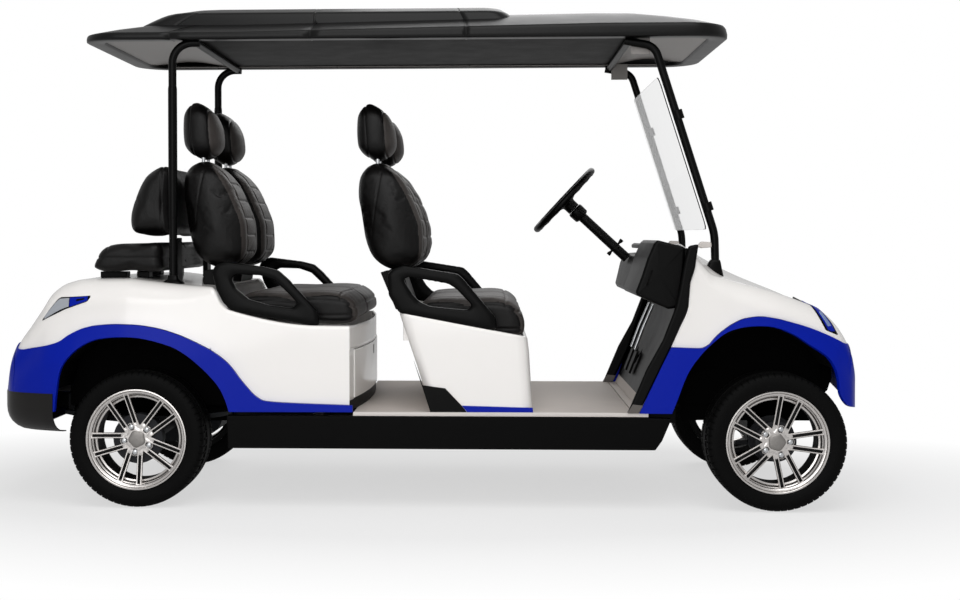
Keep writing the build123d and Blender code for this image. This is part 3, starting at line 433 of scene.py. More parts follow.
# %% Rear panels
PROUD = 12.0
tail = -1631.0
end_of_white = np.interp(605, [rear_top(-1631.0), rear_top(-1600.0), rear_top(-1570.0)], [-1631, -1600, -1570])
fan = end_of_white + (-1400 - end_of_white) * (1 - np.cos(np.linspace(0, np.pi / 2, 40)))
deck_x = np.concatenate([fan, np.linspace(-1395, -801, 70)])
deck = panel(rear_at, deck_x, rear_level(deck_x, rear_flare(deck_x)), np.full(len(deck_x), 3.0), 90)
base_x = np.concatenate([np.linspace(-801, -730, 16), np.linspace(-722, -276, 50)])
base = panel(rear_at, base_x, rear_level(base_x, rear_flare(base_x)), np.full(len(base_x), 2.09), 50)
piece("rear_body_white_panel", [deck, base], white_paint, away=(-900, 0, 500), thick=5, round_mm=2.5, both=True,
      replaces=("rear_body",))

tail_x = np.concatenate([tail + 60 * (1 - np.cos(np.linspace(0, np.pi / 2, 24))), np.linspace(-1568, -1402, 22)])
low_x, low_z = columns_of(REAR_ARCH, tail_x, np.linspace(-728, -264, 40), 90)
blue_low = rear_level(low_x, low_z)
blue_high = np.where(low_x < end_of_white, 3.0, rear_level(low_x, rear_flare(low_x) - 1.0))
blue = panel(rear_at, low_x, blue_low, blue_high, 40, PROUD)
end = panel(rear_at, low_x[:1], blue_low[:1], blue_high[:1], 40, PROUD)[0]
dome = np.linspace(0, np.pi / 2, 8)[:, None, None]
middle = np.array([tail, 0.0, 405.0])
cap = middle + (end[None] - middle) * np.cos(dome) - np.array([1.0, 0, 0]) * 3.0 * np.sin(dome)
piece("rear_lower_panel_blue", [blue, cap], blue_paint, away=(-1100, 0, 500), thick=14, round_mm=3.0, both=True,
      replaces=("side_cladding",))

# %% [markdown]
# ### Hood and blue nose
# The hood starts at the slanted edge of the cab side, so its columns are sheared: each point's x is carried
# from the cowl's edge at its own height to the nose.

# %% Front panels
def sheared(at, level, x_last, z_low, high, rows, count, rounds=12):
    """Panel whose back edge is the cowl's slanted edge: x = cowl(z) + q (x_last - cowl(z)), found by repeating."""
    q = np.sin(np.linspace(0, np.pi / 2, rows))[:, None]
    v = np.linspace(0, 1, count)[None, :]
    x = cowl_front(700.0) + q * (x_last - cowl_front(700.0)) + 0 * v
    for _ in range(rounds):
        low = level(x, z_low(x))
        s = low + (high - low) * v
        z = at(x, s)[..., 2]
        x = cowl_front(z) + q * (x_last - cowl_front(z))
    return at(x, level(x, z_low(x)) + (high - level(x, z_low(x))) * v)


def calmed(grid, start=0.5, rounds=500):
    """Heat flow over the top: each point moves to its four neighbours' mean, not at all below v = start."""
    grid = grid.copy()
    share = ease((np.linspace(0, 1, grid.shape[1]) - start) / 0.25)[None, 1:, None]
    mirrored = np.array([1.0, -1.0, 1.0])
    for _ in range(rounds):
        wide = np.concatenate([grid, grid[:, -2:-1] * mirrored], 1)
        mean = (wide[:-2, 1:-1] + wide[2:, 1:-1] + wide[1:-1, :-2] + wide[1:-1, 2:]) / 4
        grid[1:-1, 1:] += share * (mean - grid[1:-1, 1:])
    return grid


end_of_hood = 1613.5
hood = calmed(sheared(front_at, front_level, end_of_hood, front_flare, 3.0, 110, 110))
piece("hood_white_panel", [hood], white_paint, away=(1250, 0, 500), thick=5, round_mm=2.5, both=True,
      replaces=("hood",))

nose = 1631.0
back_x = np.linspace(0, 1, 24)
arch_x, arch_z = columns_of(FRONT_ARCH, np.array([]), nose - 14 * (1 - np.sin(np.linspace(0.2, np.pi / 2, 12))),
                            110)
keep = np.unique(np.round(arch_x, 3), return_index=True)[1]
arch_x, arch_z = arch_x[keep], arch_z[keep]
face = np.where(arch_x > end_of_hood, 3.0, front_level(arch_x, front_flare(arch_x) - 1.0))
wing = panel(front_at, arch_x, front_level(arch_x, arch_z), face, 40, PROUD)
v = np.linspace(0, 1, 40)[None, :]
edge_z = LOW + (front_flare(arch_x[0]) - 1.0 - LOW) * v
foot = cowl_front(edge_z) + back_x[:, None] * (arch_x[0] - cowl_front(edge_z))
foot_s = front_level(foot, LOW + (front_flare(foot) - 1.0 - LOW) * v)
corner = front_at(foot, foot_s, PROUD)
end = wing[-1]
middle = np.array([nose, 0.0, 455.0])
cap = middle + (end[None] - middle) * np.cos(dome) + np.array([1.0, 0, 0]) * 13.5 * np.sin(dome)
piece("front_lower_panel_blue", [wing, corner, cap], blue_paint, away=(1250, 0, 500), thick=14, round_mm=3.0,
      both=True, replaces=("front_cladding",))

# %% [markdown]
# ## Wheels
# A cast alloy wheel is a turned barrel with a lip, a hub that carries five nuts, and ten slender spokes in
# five pairs, each with a groove milled down its middle. The barrel and the tyre are profiles turned round
# the axle. A spoke is one section carried outwards, whose width and groove depth change on the way.

# %% Places on a wheel
WHEELS = {"rear_left": (-1087.0, 1), "rear_right": (-1087.0, -1),
          "front_left": (1327.0, 1), "front_right": (1327.0, -1)}
WHEEL_Y, AXLE_Z = 517.5, 260.0
PHASE = math.radians(44)        # the turn of the first pair of spokes
PAIR_TURNS = [PHASE + math.radians(72 * k) for k in range(5)]
STUD_CIRCLE = 50.8
SPLAY, BESIDE = math.radians(8), 13.0        # how a spoke leans from its pair's middle, and starts beside it
FRONT_ROLL = math.radians(-43)        # how far the front wheels have rolled against the rear ones


def on_wheel(points, x, side):
    """(forwards, up, outwards) from a wheel's middle to the cart's own place."""
    return np.stack([x + points[..., 0], side * (WHEEL_Y + points[..., 2]), AXLE_Z + points[..., 1]], -1)


def swung(x, y, out, turn):
    """Points (x, y) turned about the axle, at their distance outwards."""
    u, v = math.cos(turn), math.sin(turn)
    return np.stack([x * u - y * v, x * v + y * u, out], -1)


def turned(profile, count=96):
    """Profile of (radius, outwards) turned round the axle: (r cos a, r sin a, outwards)."""
    p = np.array(profile, float)
    a = np.linspace(0, 2 * np.pi, count, endpoint=False)
    r, out = p[:, :1], np.broadcast_to(p[:, 1:], (len(p), count))
    return np.stack([r * np.cos(a), r * np.sin(a), out], -1)


# %% [markdown]
# The profile below runs once round the cast rim: bead seats, well, outer lip, and the stepped face inside it.

# %% Barrel, spokes and hub
BARREL = np.array([
    (193, -93), (193, -84), (178, -84), (178, -53), (167, -41), (167, 41), (178, 53), (178, 84), (193, 84),
    (193, 92), (191.5, 95), (187, 95.5), (184, 93), (182.5, 87), (176, 85), (173.5, 82), (172.5, 75), (168.5, 72),
    (166, 66), (164, 60), (158, 57.5), (157, 54), (160, 46), (160, -41), (170, -53), (172, -93)])
# The inner part of the barrel is black: painted shade inside the wheel.
BRIGHT_PART, SHADE_PAINTED_PART = BARREL[7:23], np.concatenate([BARREL[22:], BARREL[:8]])


def spoke_face(s):
    """How far out a spoke's face lies at s from the axle."""
    return 73 + 9.5 * (s / 170) ** 2


def spoke(pair, half, count=26):
    """Section carried from the hub to the barrel, two ribs with a deep groove between them.

    Its middle line starts 13 mm beside the wheel's centre, on the side of half, and points 8 degrees away from
    the pair's middle. Half width 11.2 + 2 e^-(s-38)/16 + 3 e^-(177-s)/8.
    """
    s = 38 + (177 - 38) * np.linspace(0, 1, count)[:, None]
    wide = 11.2 + 2 * np.exp(-(s - 38) / 16) + 3 * np.exp(-(177 - s) / 8)
    deep = 9.0 * ease((s - 56) / 16) * ease((173 - s) / 8)
    cut = 4.6 + 0 * s
    side = np.concatenate([-wide, -wide + 0.8, -wide + 2.2, -cut - 1.2, -cut + 1.4, cut - 1.4, cut + 1.2,
                           wide - 2.2, wide - 0.8, wide, wide - 4, 0 * wide, -wide + 4], 1)
    drop = np.concatenate([0 * s + 5, 0 * s + 1.2, 0 * s, 0 * s, deep, deep, 0 * s, 0 * s, 0 * s + 1.2,
                           0 * s + 5, 0 * s + 24, 0 * s + 26, 0 * s + 24], 1)
    return swung(s, side + half * BESIDE, spoke_face(s) - drop, pair + half * SPLAY)


def hub(rows=34, count=160):
    """Disc with a lug recess round each stud: out = 75.5 - 11 * dip, dip = 1 to 10.5 mm from a stud, 0 past 14."""
    a = np.linspace(0, 2 * np.pi, count, endpoint=False)[None, :]
    rim = 54 + 12 * np.cos(5 * (a - PHASE))
    q = np.linspace(0, 1, rows)[:, None]
    r = 20 + (rim - 20) * q
    x, z = r * np.cos(a), r * np.sin(a)
    out = 75.5 - 2.5 * q ** 4 + 0 * x
    for stud in PAIR_TURNS:
        away = np.hypot(x - STUD_CIRCLE * math.cos(stud), z - STUD_CIRCLE * math.sin(stud))
        out = out - 11 * (1 - ease((away - 10.5) / 3.5))
    top = np.stack([x, z, out], -1)
    wall = np.stack([x[-1:] * np.ones((3, 1)), z[-1:] * np.ones((3, 1)),
                     np.array([[71.0], [64.0], [58.0]]) + 0 * x[-1:]], -1)
    return np.concatenate([top, wall])


def cap():
    """Centre cap: a rounded pentagon, radius 31.5 (1 + 0.055 cos 5a), domed by 5 mm."""
    a = np.linspace(0, 2 * np.pi, 80, endpoint=False)[None, :]
    q = np.array([0.02, 0.5, 0.8, 0.93, 1.0, 1.0, 1.0])[:, None]
    out = np.array([83.5, 83.0, 82.0, 80.8, 78.5, 75.0, 70.0])[:, None]
    r = 31.5 * (1 + 0.055 * q * np.cos(5 * (a - PHASE))) * q
    return np.stack([r * np.cos(a), r * np.sin(a), out + 0 * a], -1)


def nut(stud):
    """Hexagonal nut on the stud at this turn: radius 9 / cos(distance to the nearest flat's middle), crowned."""
    a = np.linspace(0, 2 * np.pi, 48, endpoint=False)[None, :]
    flat = 9.0 / np.cos((a + np.pi / 6) % (np.pi / 3) - np.pi / 6)
    r = np.array([0.02, 0.45, 0.75, 0.94, 1.0, 1.0])[:, None] * flat
    out = np.array([78.5, 78.3, 77.6, 76.2, 74.5, 62.0])[:, None]
    return np.stack([STUD_CIRCLE * math.cos(stud) + r * np.cos(a), STUD_CIRCLE * math.sin(stud) + r * np.sin(a),
                     out + 0 * a], -1)


# %% [markdown]
# ### Tyre
# The sidewall is a smooth bulge; the tread wraps over the shoulder in blocks between four straight grooves
# and a ring of short cross grooves. Each block spans six columns of the grid, so its edges stay crisp.

# %% Tyre
BLOCKS = 62


def tyre_grid():
    """Radius = profile(a) - depth * groove(angle, a): straight grooves at 24 and 60 mm, cross ones on each block."""
    edge = np.array([0.0, 0.07, 0.11, 0.5, 0.89, 0.93])
    turn = ((np.arange(BLOCKS)[:, None] + edge[None, :]) / BLOCKS).ravel() * 2 * np.pi
    open_cut = np.tile(np.array([1.0, 1.0, 0, 0, 0, 1.0]), BLOCKS)
    side = [(193.3, 84.5), (193.5, 92.0), (196.5, 94.8), (203, 97.5), (212, 100.5), (222, 102.2), (231, 102.3),
            (239, 101.0), (244, 99.2), (246, 98.4), (248.5, 97.0), (252, 94.0), (255.5, 89.0), (257.8, 82.0)]
    crown = [(258.4, 78), (258.9, 70), (259.2, 63.5), (259.3, 63.0), (259.4, 57.0), (259.4, 56.5), (259.7, 45),
             (259.8, 27.5), (259.8, 27.0), (259.8, 21.0), (259.8, 20.5), (260.0, 8)]
    half = np.array(side + crown)
    profile = np.concatenate([half, half[::-1] * (1, -1)])
    r, a = profile[:, :1], np.abs(profile[:, 1:])
    line = ((a > 56.8) & (a < 63.2)) | ((a > 20.8) & (a < 27.2))
    block = (a > 63.3) & (r > 245.0)
    middle = (a > 27.3) & (a < 56.4)
    shift = np.roll(open_cut, 3)
    deep = np.where(line, 6.5, 0.0) + np.where(block, 3.4, 0.0) * open_cut + np.where(middle, 4.0, 0.0) * shift
    r = r - deep
    return np.stack([r * np.cos(turn), r * np.sin(turn), profile[:, 1:] + 0 * r], -1)


# %% [markdown]
# The same four shapes serve all wheels. The face of the casting is bright. Its inside and the bottoms of the
# grooves are black: painted shade, where the barrel and the grooves lie in shadow.

# %% Four wheels
tyre_shape = tyre_grid()
face_shape, barrel_shape = turned(BRIGHT_PART), turned(SHADE_PAINTED_PART)
pairs = [(turn, half) for turn in PAIR_TURNS for half in (-1, 1)]


def groove_shade_strip(pair, half):
    """Black strip in the spoke's groove, painted shade: 9 mm wide along it, 3.2 mm below the spoke's face."""
    s = np.linspace(62, 168, 12)[:, None]
    side = half * BESIDE + np.linspace(-4.4, 4.4, 3)[None]
    return swung(s, side, spoke_face(s) - 3.2 + 0 * side, pair + half * SPLAY)


def rolled(grid, wheel):
    """A front wheel's grid turned about the axle; a rear wheel's stays."""
    return swung(grid[..., 0], grid[..., 1], grid[..., 2], FRONT_ROLL if wheel.startswith("front") else 0.0)


for wheel, (x, side) in WHEELS.items():
    body = f"wheel_{wheel}"
    piece(f"tyre_{wheel}_tread", [(on_wheel(tyre_shape, x, side), True, False)], tyre_rubber, body, sharp=35,
          replaces=(f"tyre_{wheel}",))

    def place(grid):
        return on_wheel(rolled(grid, wheel), x, side)

    grids = [(place(face_shape), True, False), (place(hub()), True, False)]
    grids += [(place(spoke(*pair)), True, False) for pair in pairs]
    piece(f"rim_{wheel}_cast", grids, alloy, body, sharp=38, replaces=(f"rim_{wheel}",))
    # The black barrel inside and the black groove strips are painted shade in the wheel's hollows.
    piece(f"rim_{wheel}_barrel", [(place(barrel_shape), True, False)], painted_shade_alloy, body, sharp=38)
    piece(f"rim_{wheel}_groove_shade_strips", [place(groove_shade_strip(*pair)) for pair in pairs], painted_shade_alloy, body,
          away=(x, 0, AXLE_Z), thick=1.0)
    piece(f"cap_{wheel}", [(place(cap()), True, False)], alloy_dark, body, sharp=40)
    piece(f"nuts_{wheel}", [(place(nut(turn)), True, False) for turn in PAIR_TURNS], bright_steel, body, sharp=25)

# %% [markdown]
# ## Seats
# Each seat is foam under black leather: panels are cut flat, sewn together, and pulled over the foam, so the
# surface swells between the seams and dips along them. A hand-made subdivision cage would do for one pad;
# here a plain closed start shape is blown up like cloth under pressure, which gives twelve pads the same fabric
# logic, and the seams are pressed in afterwards, where a formula says how far each point lies from one.

# %% Leather
def leather_finish(name, colour, rough, grain_mm=2.4, bump_mm=0.35):
    """Full-grain leather, pigmented: cells of about 2 mm between fine creases, slightly shiny on the crests.

    Height = distance to the nearest cell edge, plus a slow wrinkle noise 40 mm across.
    """
    made, tree, place = blank(name)
    patch = add(tree, "ShaderNodeTexNoise", {"Vector": place, "Scale": 14.0, "Detail": 5.0, "Roughness": 0.65})
    cell = add(tree, "ShaderNodeTexVoronoi", {"Vector": place, "Scale": 1 / (grain_mm * MM), "Randomness": 0.9},
               feature="DISTANCE_TO_EDGE")
    crest = add(tree, "ShaderNodeMapRange", {"Value": cell.outputs["Distance"], "From Max": 0.35})
    wrinkle = add(tree, "ShaderNodeTexNoise", {"Vector": place, "Scale": 26.0, "Detail": 2.0, "Distortion": 0.6})
    fine = add(tree, "ShaderNodeBump", {"Height": crest.outputs["Result"], "Distance": bump_mm * MM, "Strength": 0.5})
    slow = add(tree, "ShaderNodeBump", {"Height": wrinkle.outputs["Fac"], "Distance": 2.2 * MM, "Strength": 0.6,
                                        "Normal": fine.outputs["Normal"]})
    base = linear(colour)
    tint = tinted(tree, base, patch.outputs["Fac"], 0.7, 1.45)
    sheen = add(tree, "ShaderNodeMapRange", {"Value": patch.outputs["Fac"], "To Min": rough - 0.05,
                                             "To Max": rough + 0.07})
    skin = add(tree, "ShaderNodeBsdfPrincipled", {"Base Color": tint, "Roughness": sheen.outputs["Result"],
                                                  "Specular IOR Level": 0.2, "Normal": slow.outputs["Normal"]})
    add(tree, "ShaderNodeOutputMaterial", {"Surface": skin.outputs["BSDF"]})
    made.diffuse_color = base
    return made


side_leather = leather_finish("leather_black_pigmented", "#070606", 0.36)
# The leather is black all over; the grey one paints the sheen that light gives the fronts and tops.
sheen_painted_leather = leather_finish("leather_grey_painted_sheen", "#3A3634", 0.46)

# %% [markdown]
# ### Start shapes
# A cushion is its side profile run across the cart with rounded ends. A backrest and a headrest are stacks
# of rounded sections, one for each height.

# %% Closed start shapes
def bolster(profile, half, corner, inset, count=56, rows=44):
    """Side profile carried across: at y the profile is drawn in by R - sqrt(R^2 - d^2), d past half - R."""
    p = spline(profile, count, closed=True)
    centre = p.mean(0)
    q = np.linspace(-1, 1, rows)
    y = half * np.sign(q) * (1 - (1 - np.abs(q)) ** 1.6)
    past = np.clip(np.abs(y) - (half - corner), 0, corner)
    drawn = corner - np.sqrt(np.maximum(corner ** 2 - past ** 2, 0)) + inset
    away = p - centre
    reach = np.linalg.norm(away, axis=1, keepdims=True)
    shape = centre + away[None] * np.clip(1 - drawn[:, None, None] / reach[None], 0.35, 1)
    y = np.broadcast_to(y[:, None], shape.shape[:2])
    ring = np.stack([shape[..., 0], y * (half - inset) / half, shape[..., 1]], -1)
    middle = np.array([centre[0], 0, centre[1]])
    ends = [np.stack([ring[k, :, 0] * (1 - f) + middle[0] * f, ring[k, :, 1],
                      ring[k, :, 2] * (1 - f) + middle[2] * f], -1)
            for k, f in ((0, 0.999), (0, 0.5), (-1, 0.5), (-1, 0.999))]
    return np.concatenate([[ends[0]], [ends[1]], ring, [ends[2]], [ends[3]]])


def stacked(rows, y_mid, square=0.62, count=64, levels=48, close=0.16):
    """Rounded sections, one above another: rows of (z, x_back, x_front, half width).

    x = mid + depth sgn(cos a) |cos a|^square, y likewise with the half width, and both shrink to nothing over
    the last part of the height as sqrt(1 - t^2).
    """
    table = np.array(rows, float)
    z0, z1 = table[:, 0].min(), table[:, 0].max()
    back, front, half = (through(list(zip(table[:, 0], table[:, k]))) for k in (1, 2, 3))
    q = 0.5 - 0.5 * np.cos(np.linspace(0, np.pi, levels))
    z = z0 + (z1 - z0) * q
    t = np.maximum(np.clip((close - q) / close, 0, 1), np.clip((q - 1 + close) / close, 0, 1))
    shrink = np.sqrt(np.maximum(1 - t ** 2.4, 0)) * 0.985 + 0.015
    a = np.linspace(0, 2 * np.pi, count, endpoint=False)[None, :]
    c, s = np.cos(a), np.sin(a)
    mid, deep = (front(z) + back(z)) / 2, (front(z) - back(z)) / 2
    x = mid[:, None] + (deep * shrink)[:, None] * np.sign(c) * np.abs(c) ** square
    wide = half(z) * (0.35 + 0.65 * shrink) * np.minimum(1, shrink * 3)
    y = y_mid + wide[:, None] * np.sign(s) * np.abs(s) ** square
    return np.stack([x, y, z[:, None] + 0 * x], -1)


# %% [markdown]
# ### Blown up like cloth
# The start shape is remeshed to even cells, given cloth with a little pressure and no gravity, and stepped
# through twenty frames. No point may move further than the cap. The seams come last: each presses a narrow
# valley, whose depth falls off as a bell curve with the distance from its line.

# %% Padding
PRESSURE, STIFFNESS, FRAMES = 4.0, 12.0, 20


def padded(name, grids, material, replaces=(), body="chassis", voxel=9.0, cap=9.0, seams=None,
           clip=None, insert=None):
    """Pad: grids in millimetres to a closed mesh, blown up as cloth, movement capped, seams pressed in.

    insert tells which faces are of the grey leather, and clip is the box that the pad stays in.
    """
    start = piece(name + "_start", grids, material, body)
    mesh = start.data.copy()
    pad = bpy.data.objects.new(name, mesh)
    bpy.data.objects.remove(start, do_unlink=True)
    bpy.context.scene.collection.objects.link(pad)
    even = pad.modifiers.new("even", "REMESH")
    even.mode, even.voxel_size = "VOXEL", voxel * MM
    apply_all(pad)
    rest = points_of(pad.data)
    cloth = pad.modifiers.new("cloth", "CLOTH")
    cloth.settings.use_pressure, cloth.settings.uniform_pressure_force = True, PRESSURE
    cloth.settings.effector_weights.gravity = 0.0
    cloth.settings.tension_stiffness = cloth.settings.compression_stiffness = STIFFNESS
    cloth.point_cache.frame_start, cloth.point_cache.frame_end = 1, FRAMES
    for step in range(1, FRAMES + 1):
        bpy.context.scene.frame_set(step)
    apply_all(pad)
    bpy.context.scene.frame_set(1)
    moved = points_of(pad.data) - rest
    far = np.linalg.norm(moved, axis=1, keepdims=True)
    rest = rest + moved * np.minimum(1, cap / np.maximum(far, 1e-9))
    put_points(pad.data, rest)
    fine = pad.modifiers.new("fine", "SUBSURF")
    fine.levels = fine.render_levels = 1
    apply_all(pad)
    if seams is not None:
        p, normal = points_of(pad.data), vectors(pad.data.vertices, "normal")
        # insert tells which faces get the grey leather that paints their sheen, and clip is the box that the pad
        # stays in.
        put_points(pad.data, p - normal * seams(p, normal)[:, None])
    if clip is not None:
        put_points(pad.data, np.clip(points_of(pad.data), *clip))
    pad.data.materials.clear()
    pad.data.materials.append(material)
    if insert is not None:
        # Second slot: grey leather, painted sheen on the front faces and tops.
        pad.data.materials.append(sheen_painted_leather)
        grey = insert(vectors(pad.data.polygons, "center") / MM)
        pad.data.polygons.foreach_set("material_index", grey.astype(np.int32))
    pad.data.shade_smooth()
    if replaces:
        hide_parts(*replaces)
    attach(pad, body)
    print(name, "points", len(pad.data.vertices))
    return pad


def apply_all(made):
    """Turns the object's modifiers into its mesh."""
    graph = bpy.context.evaluated_depsgraph_get()
    mesh = bpy.data.meshes.new_from_object(made.evaluated_get(graph))
    made.modifiers.clear()
    old = made.data
    made.data = mesh
    bpy.data.meshes.remove(old)


def vectors(items, what):
    """One vector of every point or face, as rows."""
    flat = np.empty(len(items) * 3)
    items.foreach_get(what, flat)
    return flat.reshape(-1, 3)


def points_of(mesh):
    """All points, in millimetres."""
    return vectors(mesh.vertices, "co") / MM


def put_points(mesh, points):
    """Writes the points back, in metres."""
    mesh.vertices.foreach_set("co", (points * MM).ravel())
    mesh.update()


def valley(distance, width, deep):
    """Bell curve: deep * e^-(distance / width)^2."""
    return deep * np.exp(-(distance / width) ** 2)


# %% [markdown]
# A row's cushion is one pad for two people. Black sides run round a grey top with long, shallow channels; the
# grey of the top is painted sheen, where light falls on the black leather.

# %% Row cushions
CUSHION = ((-28, 650), (-26, 766), (51, 790), (188, 796), (300, 793), (370, 768), (402, 716), (404, 672), (388, 650),
           (200, 648))
SECOND = ((-722, 700), (-720, 796), (-521, 814), (-400, 816), (-300, 806), (-252, 776), (-238, 738), (-246, 706),
          (-310, 698), (-500, 698))


def off_outline(x, z, outline):
    """Distance in the side view from each point to a closed outline: the least over its segments."""
    a = spline(outline, 60, closed=True)
    return np.min(np.hypot(x[:, None] - a[None, :, 0], z[:, None] - a[None, :, 1]), axis=1)


def cushion_seams(x_edge, z_edge, x_back, outline):
    """Seams of a row cushion: along the front edge, between the seats, beside every seat and round both ends."""
    def press(p, n):
        x, y, z = p.T
        top = ease((n[:, 2] - 0.2) / 0.4)
        front = ease((n[:, 0] - 0.2) / 0.4)
        out = valley(z - z_edge, 4.0, 4.5) * front
        out += valley(x - x_edge, 4.0, 4.5) * top
        reach = ease((x - x_back) / 40)
        for line in (-430, -60, 60, 430):
            out += valley(y - line, 4.0, 4.5) * top * reach * (x < x_edge)
        out += valley(y, 16.0, 9.0) * np.maximum(top, front)
        out += valley(off_outline(x, z, outline) - 30, 4.0, 4.0) * ease((np.abs(n[:, 1]) - 0.45) / 0.3)
        for line in (-385, -245, -105, 105, 245, 385):
            out -= valley(y - line, 48.0, 2.5) * top
        return out
    return press


CUSHION_HALF, INSERT_HALF = 520, 492
for node, profile, edges, low, high in (
        ("front_cushion", CUSHION, (318, 742, 0), (-32, -524, 641.0), (414, 524, 822)),
        ("second_cushion", SECOND, (-318, 760, -700), (-728, -524, 691.0), (-192, 524, 838))):
    padded(f"{node}_leather", [(bolster(profile, CUSHION_HALF, 46, 9), True, False)], side_leather, (node,), node,
           seams=cushion_seams(*edges, profile), insert=lambda p: np.abs(p[:, 1]) < INSERT_HALF, clip=(low, high))

# %% [markdown]
# Four backrests and four headrests share two shapes. The insert in front is quilted by level seams; its grey
# is painted sheen, where light falls on the black leather.

# %% Backrests and headrests
BACK = (
    # z, x at the back, x in front, half width
    (893, -184, -24, 172), (930, -206, -2, 188), (985, -230, 6, 197), (1065, -244, 2, 199), (1140, -256, -24, 197),
    (1200, -268, -52, 188), (1260, -270, -88, 172), (1300, -264, -118, 150), (1328, -246, -142, 122))
HEAD = ((1326, -230, -144, 84), (1350, -260, -120, 104), (1400, -277, -111, 118), (1450, -280, -116, 120),
        (1504, -278, -138, 112), (1548, -268, -172, 92), (1566, -252, -200, 70))


def back_seams(y_mid, dx, dz):
    """Seams of a backrest: two upright ones that bound the insert, five level ones across it, one round the side."""
    def press(p, n):
        x, y, z = (p - (dx, y_mid, dz)).T
        face = ease((n[:, 0] - 0.15) / 0.35)
        side = ease((np.abs(n[:, 1]) - 0.5) / 0.3)
        insert = 96 - 16 * ease((z - 1150) / 150)
        out = valley(np.abs(y) - insert, 3.6, 5.0) * face
        inside = ease((insert - np.abs(y)) / 6)
        for line in (962, 1030, 1098, 1166, 1234):
            out += valley(z - line, 3.6, 4.6) * face * inside
        out -= (1 - np.cos((z - 962) / 68 * 2 * np.pi)) * 0.9 * face * inside
        out -= valley(np.abs(y) - insert - 44, 30, 11.0) * face * ease((z - 900) / 80) * ease((1310 - z) / 90)
        belt = x + 196 - 0.16 * (z - 900) + 34
        out += valley(belt, 3.4, 3.2) * side
        return out
    return press


front_edge = through([(z, front - 26) for z, back, front, half in BACK])
SEAT_Y, ROD_RADIUS = 245.0, 7
for row, dx, dz in (("front", 0.0, 0.0), ("second", -697.0, 8.0)):
    for seat, y_mid in (("right", -SEAT_Y), ("left", SEAT_Y)):
        shift = np.array([dx, 0, dz])
        shape = stacked(BACK, y_mid)
        middle = np.array([-130.0, y_mid, 1110.0])
        shape = middle + (shape - middle) * (0.93, 0.955, 0.985) + shift
        node = (f"{row}_backs",) if seat == "right" else ()
        padded(f"{row}_{seat}_back_leather", [(shape, True, False)], side_leather, node, voxel=8.0,
               seams=back_seams(y_mid, dx, dz),
               insert=lambda p, dx=dx, dz=dz: p[:, 0] - dx > front_edge(p[:, 2] - dz))
        head = stacked(HEAD, y_mid, square=0.8, levels=32, count=48, close=0.3)
        middle = np.array([-199.0, y_mid, 1441.0])
        head = middle + (head - middle) * (0.93, 0.95, 0.96) + shift


        def head_seams(p, n, dx=dx, dz=dz):
            """One seam round the headrest, 30 mm behind its middle, and one along its front edge."""
            x = p[:, 0] - dx + 0.07 * (p[:, 2] - dz - 1441)
            return valley(x + 232, 3.4, 3.4) + valley(x + 160, 3.4, 2.8) * (np.abs(n[:, 0]) < 0.8)


        padded(f"{row}_{seat}_headrest_leather", [(head, True, False)], side_leather, voxel=7.0, cap=6.0,
               seams=head_seams,
               insert=lambda p, dx=dx, dz=dz: p[:, 0] - dx + 0.07 * (p[:, 2] - dz - 1441) > -160)
        rods = []
        a = np.linspace(0, 2 * np.pi, 24, endpoint=False)
        for y_post in (-50, 50):
            z = np.array([1296.0, 1366.0])[:, None] + dz
            rods.append((np.stack([-190 + dx + ROD_RADIUS * np.cos(a) + 0 * z,
                                   y_mid + y_post + ROD_RADIUS * np.sin(a) + 0 * z, z + 0 * a], -1), True, False))
        piece(f"{row}_{seat}_headrest_rods", rods, bright_steel)

# %% [markdown]
# ### Bench that looks back
# The rear bench has a plain cushion and a low, wide back with one seam round each edge.

# %% Bench
BENCH = ((-1296, 900), (-1296, 940), (-1268, 982), (-1190, 1002), (-1080, 1003), (-1016, 1000), (-1012, 940),
         (-1016, 900), (-1150, 898))
BENCH_BACK = ((-1164, 1080), (-1146, 1034), (-1060, 1032), (-994, 1034), (-992, 1160), (-994, 1290), (-1014, 1316),
              (-1052, 1308), (-1104, 1262), (-1148, 1166))


def bench_seams(p, n):
    """Along the cushion's rear edge, and where two seats meet."""
    x, y, z = p.T
    edge = valley(z - 948, 3.6, 3.6) * (np.abs(n[:, 2]) < 0.7)
    return edge + valley(np.abs(y), 5.0, 4.0) * (n[:, 2] > 0.2) + valley(x + 1240, 3.6, 3.2) * (n[:, 2] > 0.3)


def bench_back_seams(p, n):
    """A belt round the edge of the back, and level seams on the face that people lean on."""
    x, y, z = p.T
    face = ease((-n[:, 0] - 0.2) / 0.3)
    out = valley(x + 1030, 3.6, 3.4) * (np.abs(n[:, 0]) < 0.75)
    for line in (1110, 1180, 1250):
        out += valley(z - line, 3.6, 3.6) * face * (np.abs(y) < 380)
    return out + valley(y, 5.0, 4.0) * face


padded("bench_cushion_leather", [(bolster(BENCH, 468, 40, 7), True, False)], side_leather, ("bench_cushion",),
       cap=7.0, seams=bench_seams, clip=((-1306, -474, 892.5), (-1004, 474, 1012)))
padded("bench_back_leather", [(bolster(BENCH_BACK, 436, 60, 7), True, False)], side_leather, ("bench_back",),
       cap=7.0, seams=bench_back_seams)

# %% [markdown]
# ## Roof
# The roof is one sheet of black plastic, heated and drawn over a mould, so every edge is soft. A stack of
# rounded rectangles gives it: one outline for each height, from the inner rim up over the lip to the middle.
# The raised panel on top is a second, smaller stack, and the cross joints are grooves in both.

# %% Stacked outlines
ROOF_LOW, ROOF_HIGH, ROOF_HALF = -1330.0, 1175.0, 520.0
JOINTS = (-968.0, -430.0, 165.0)


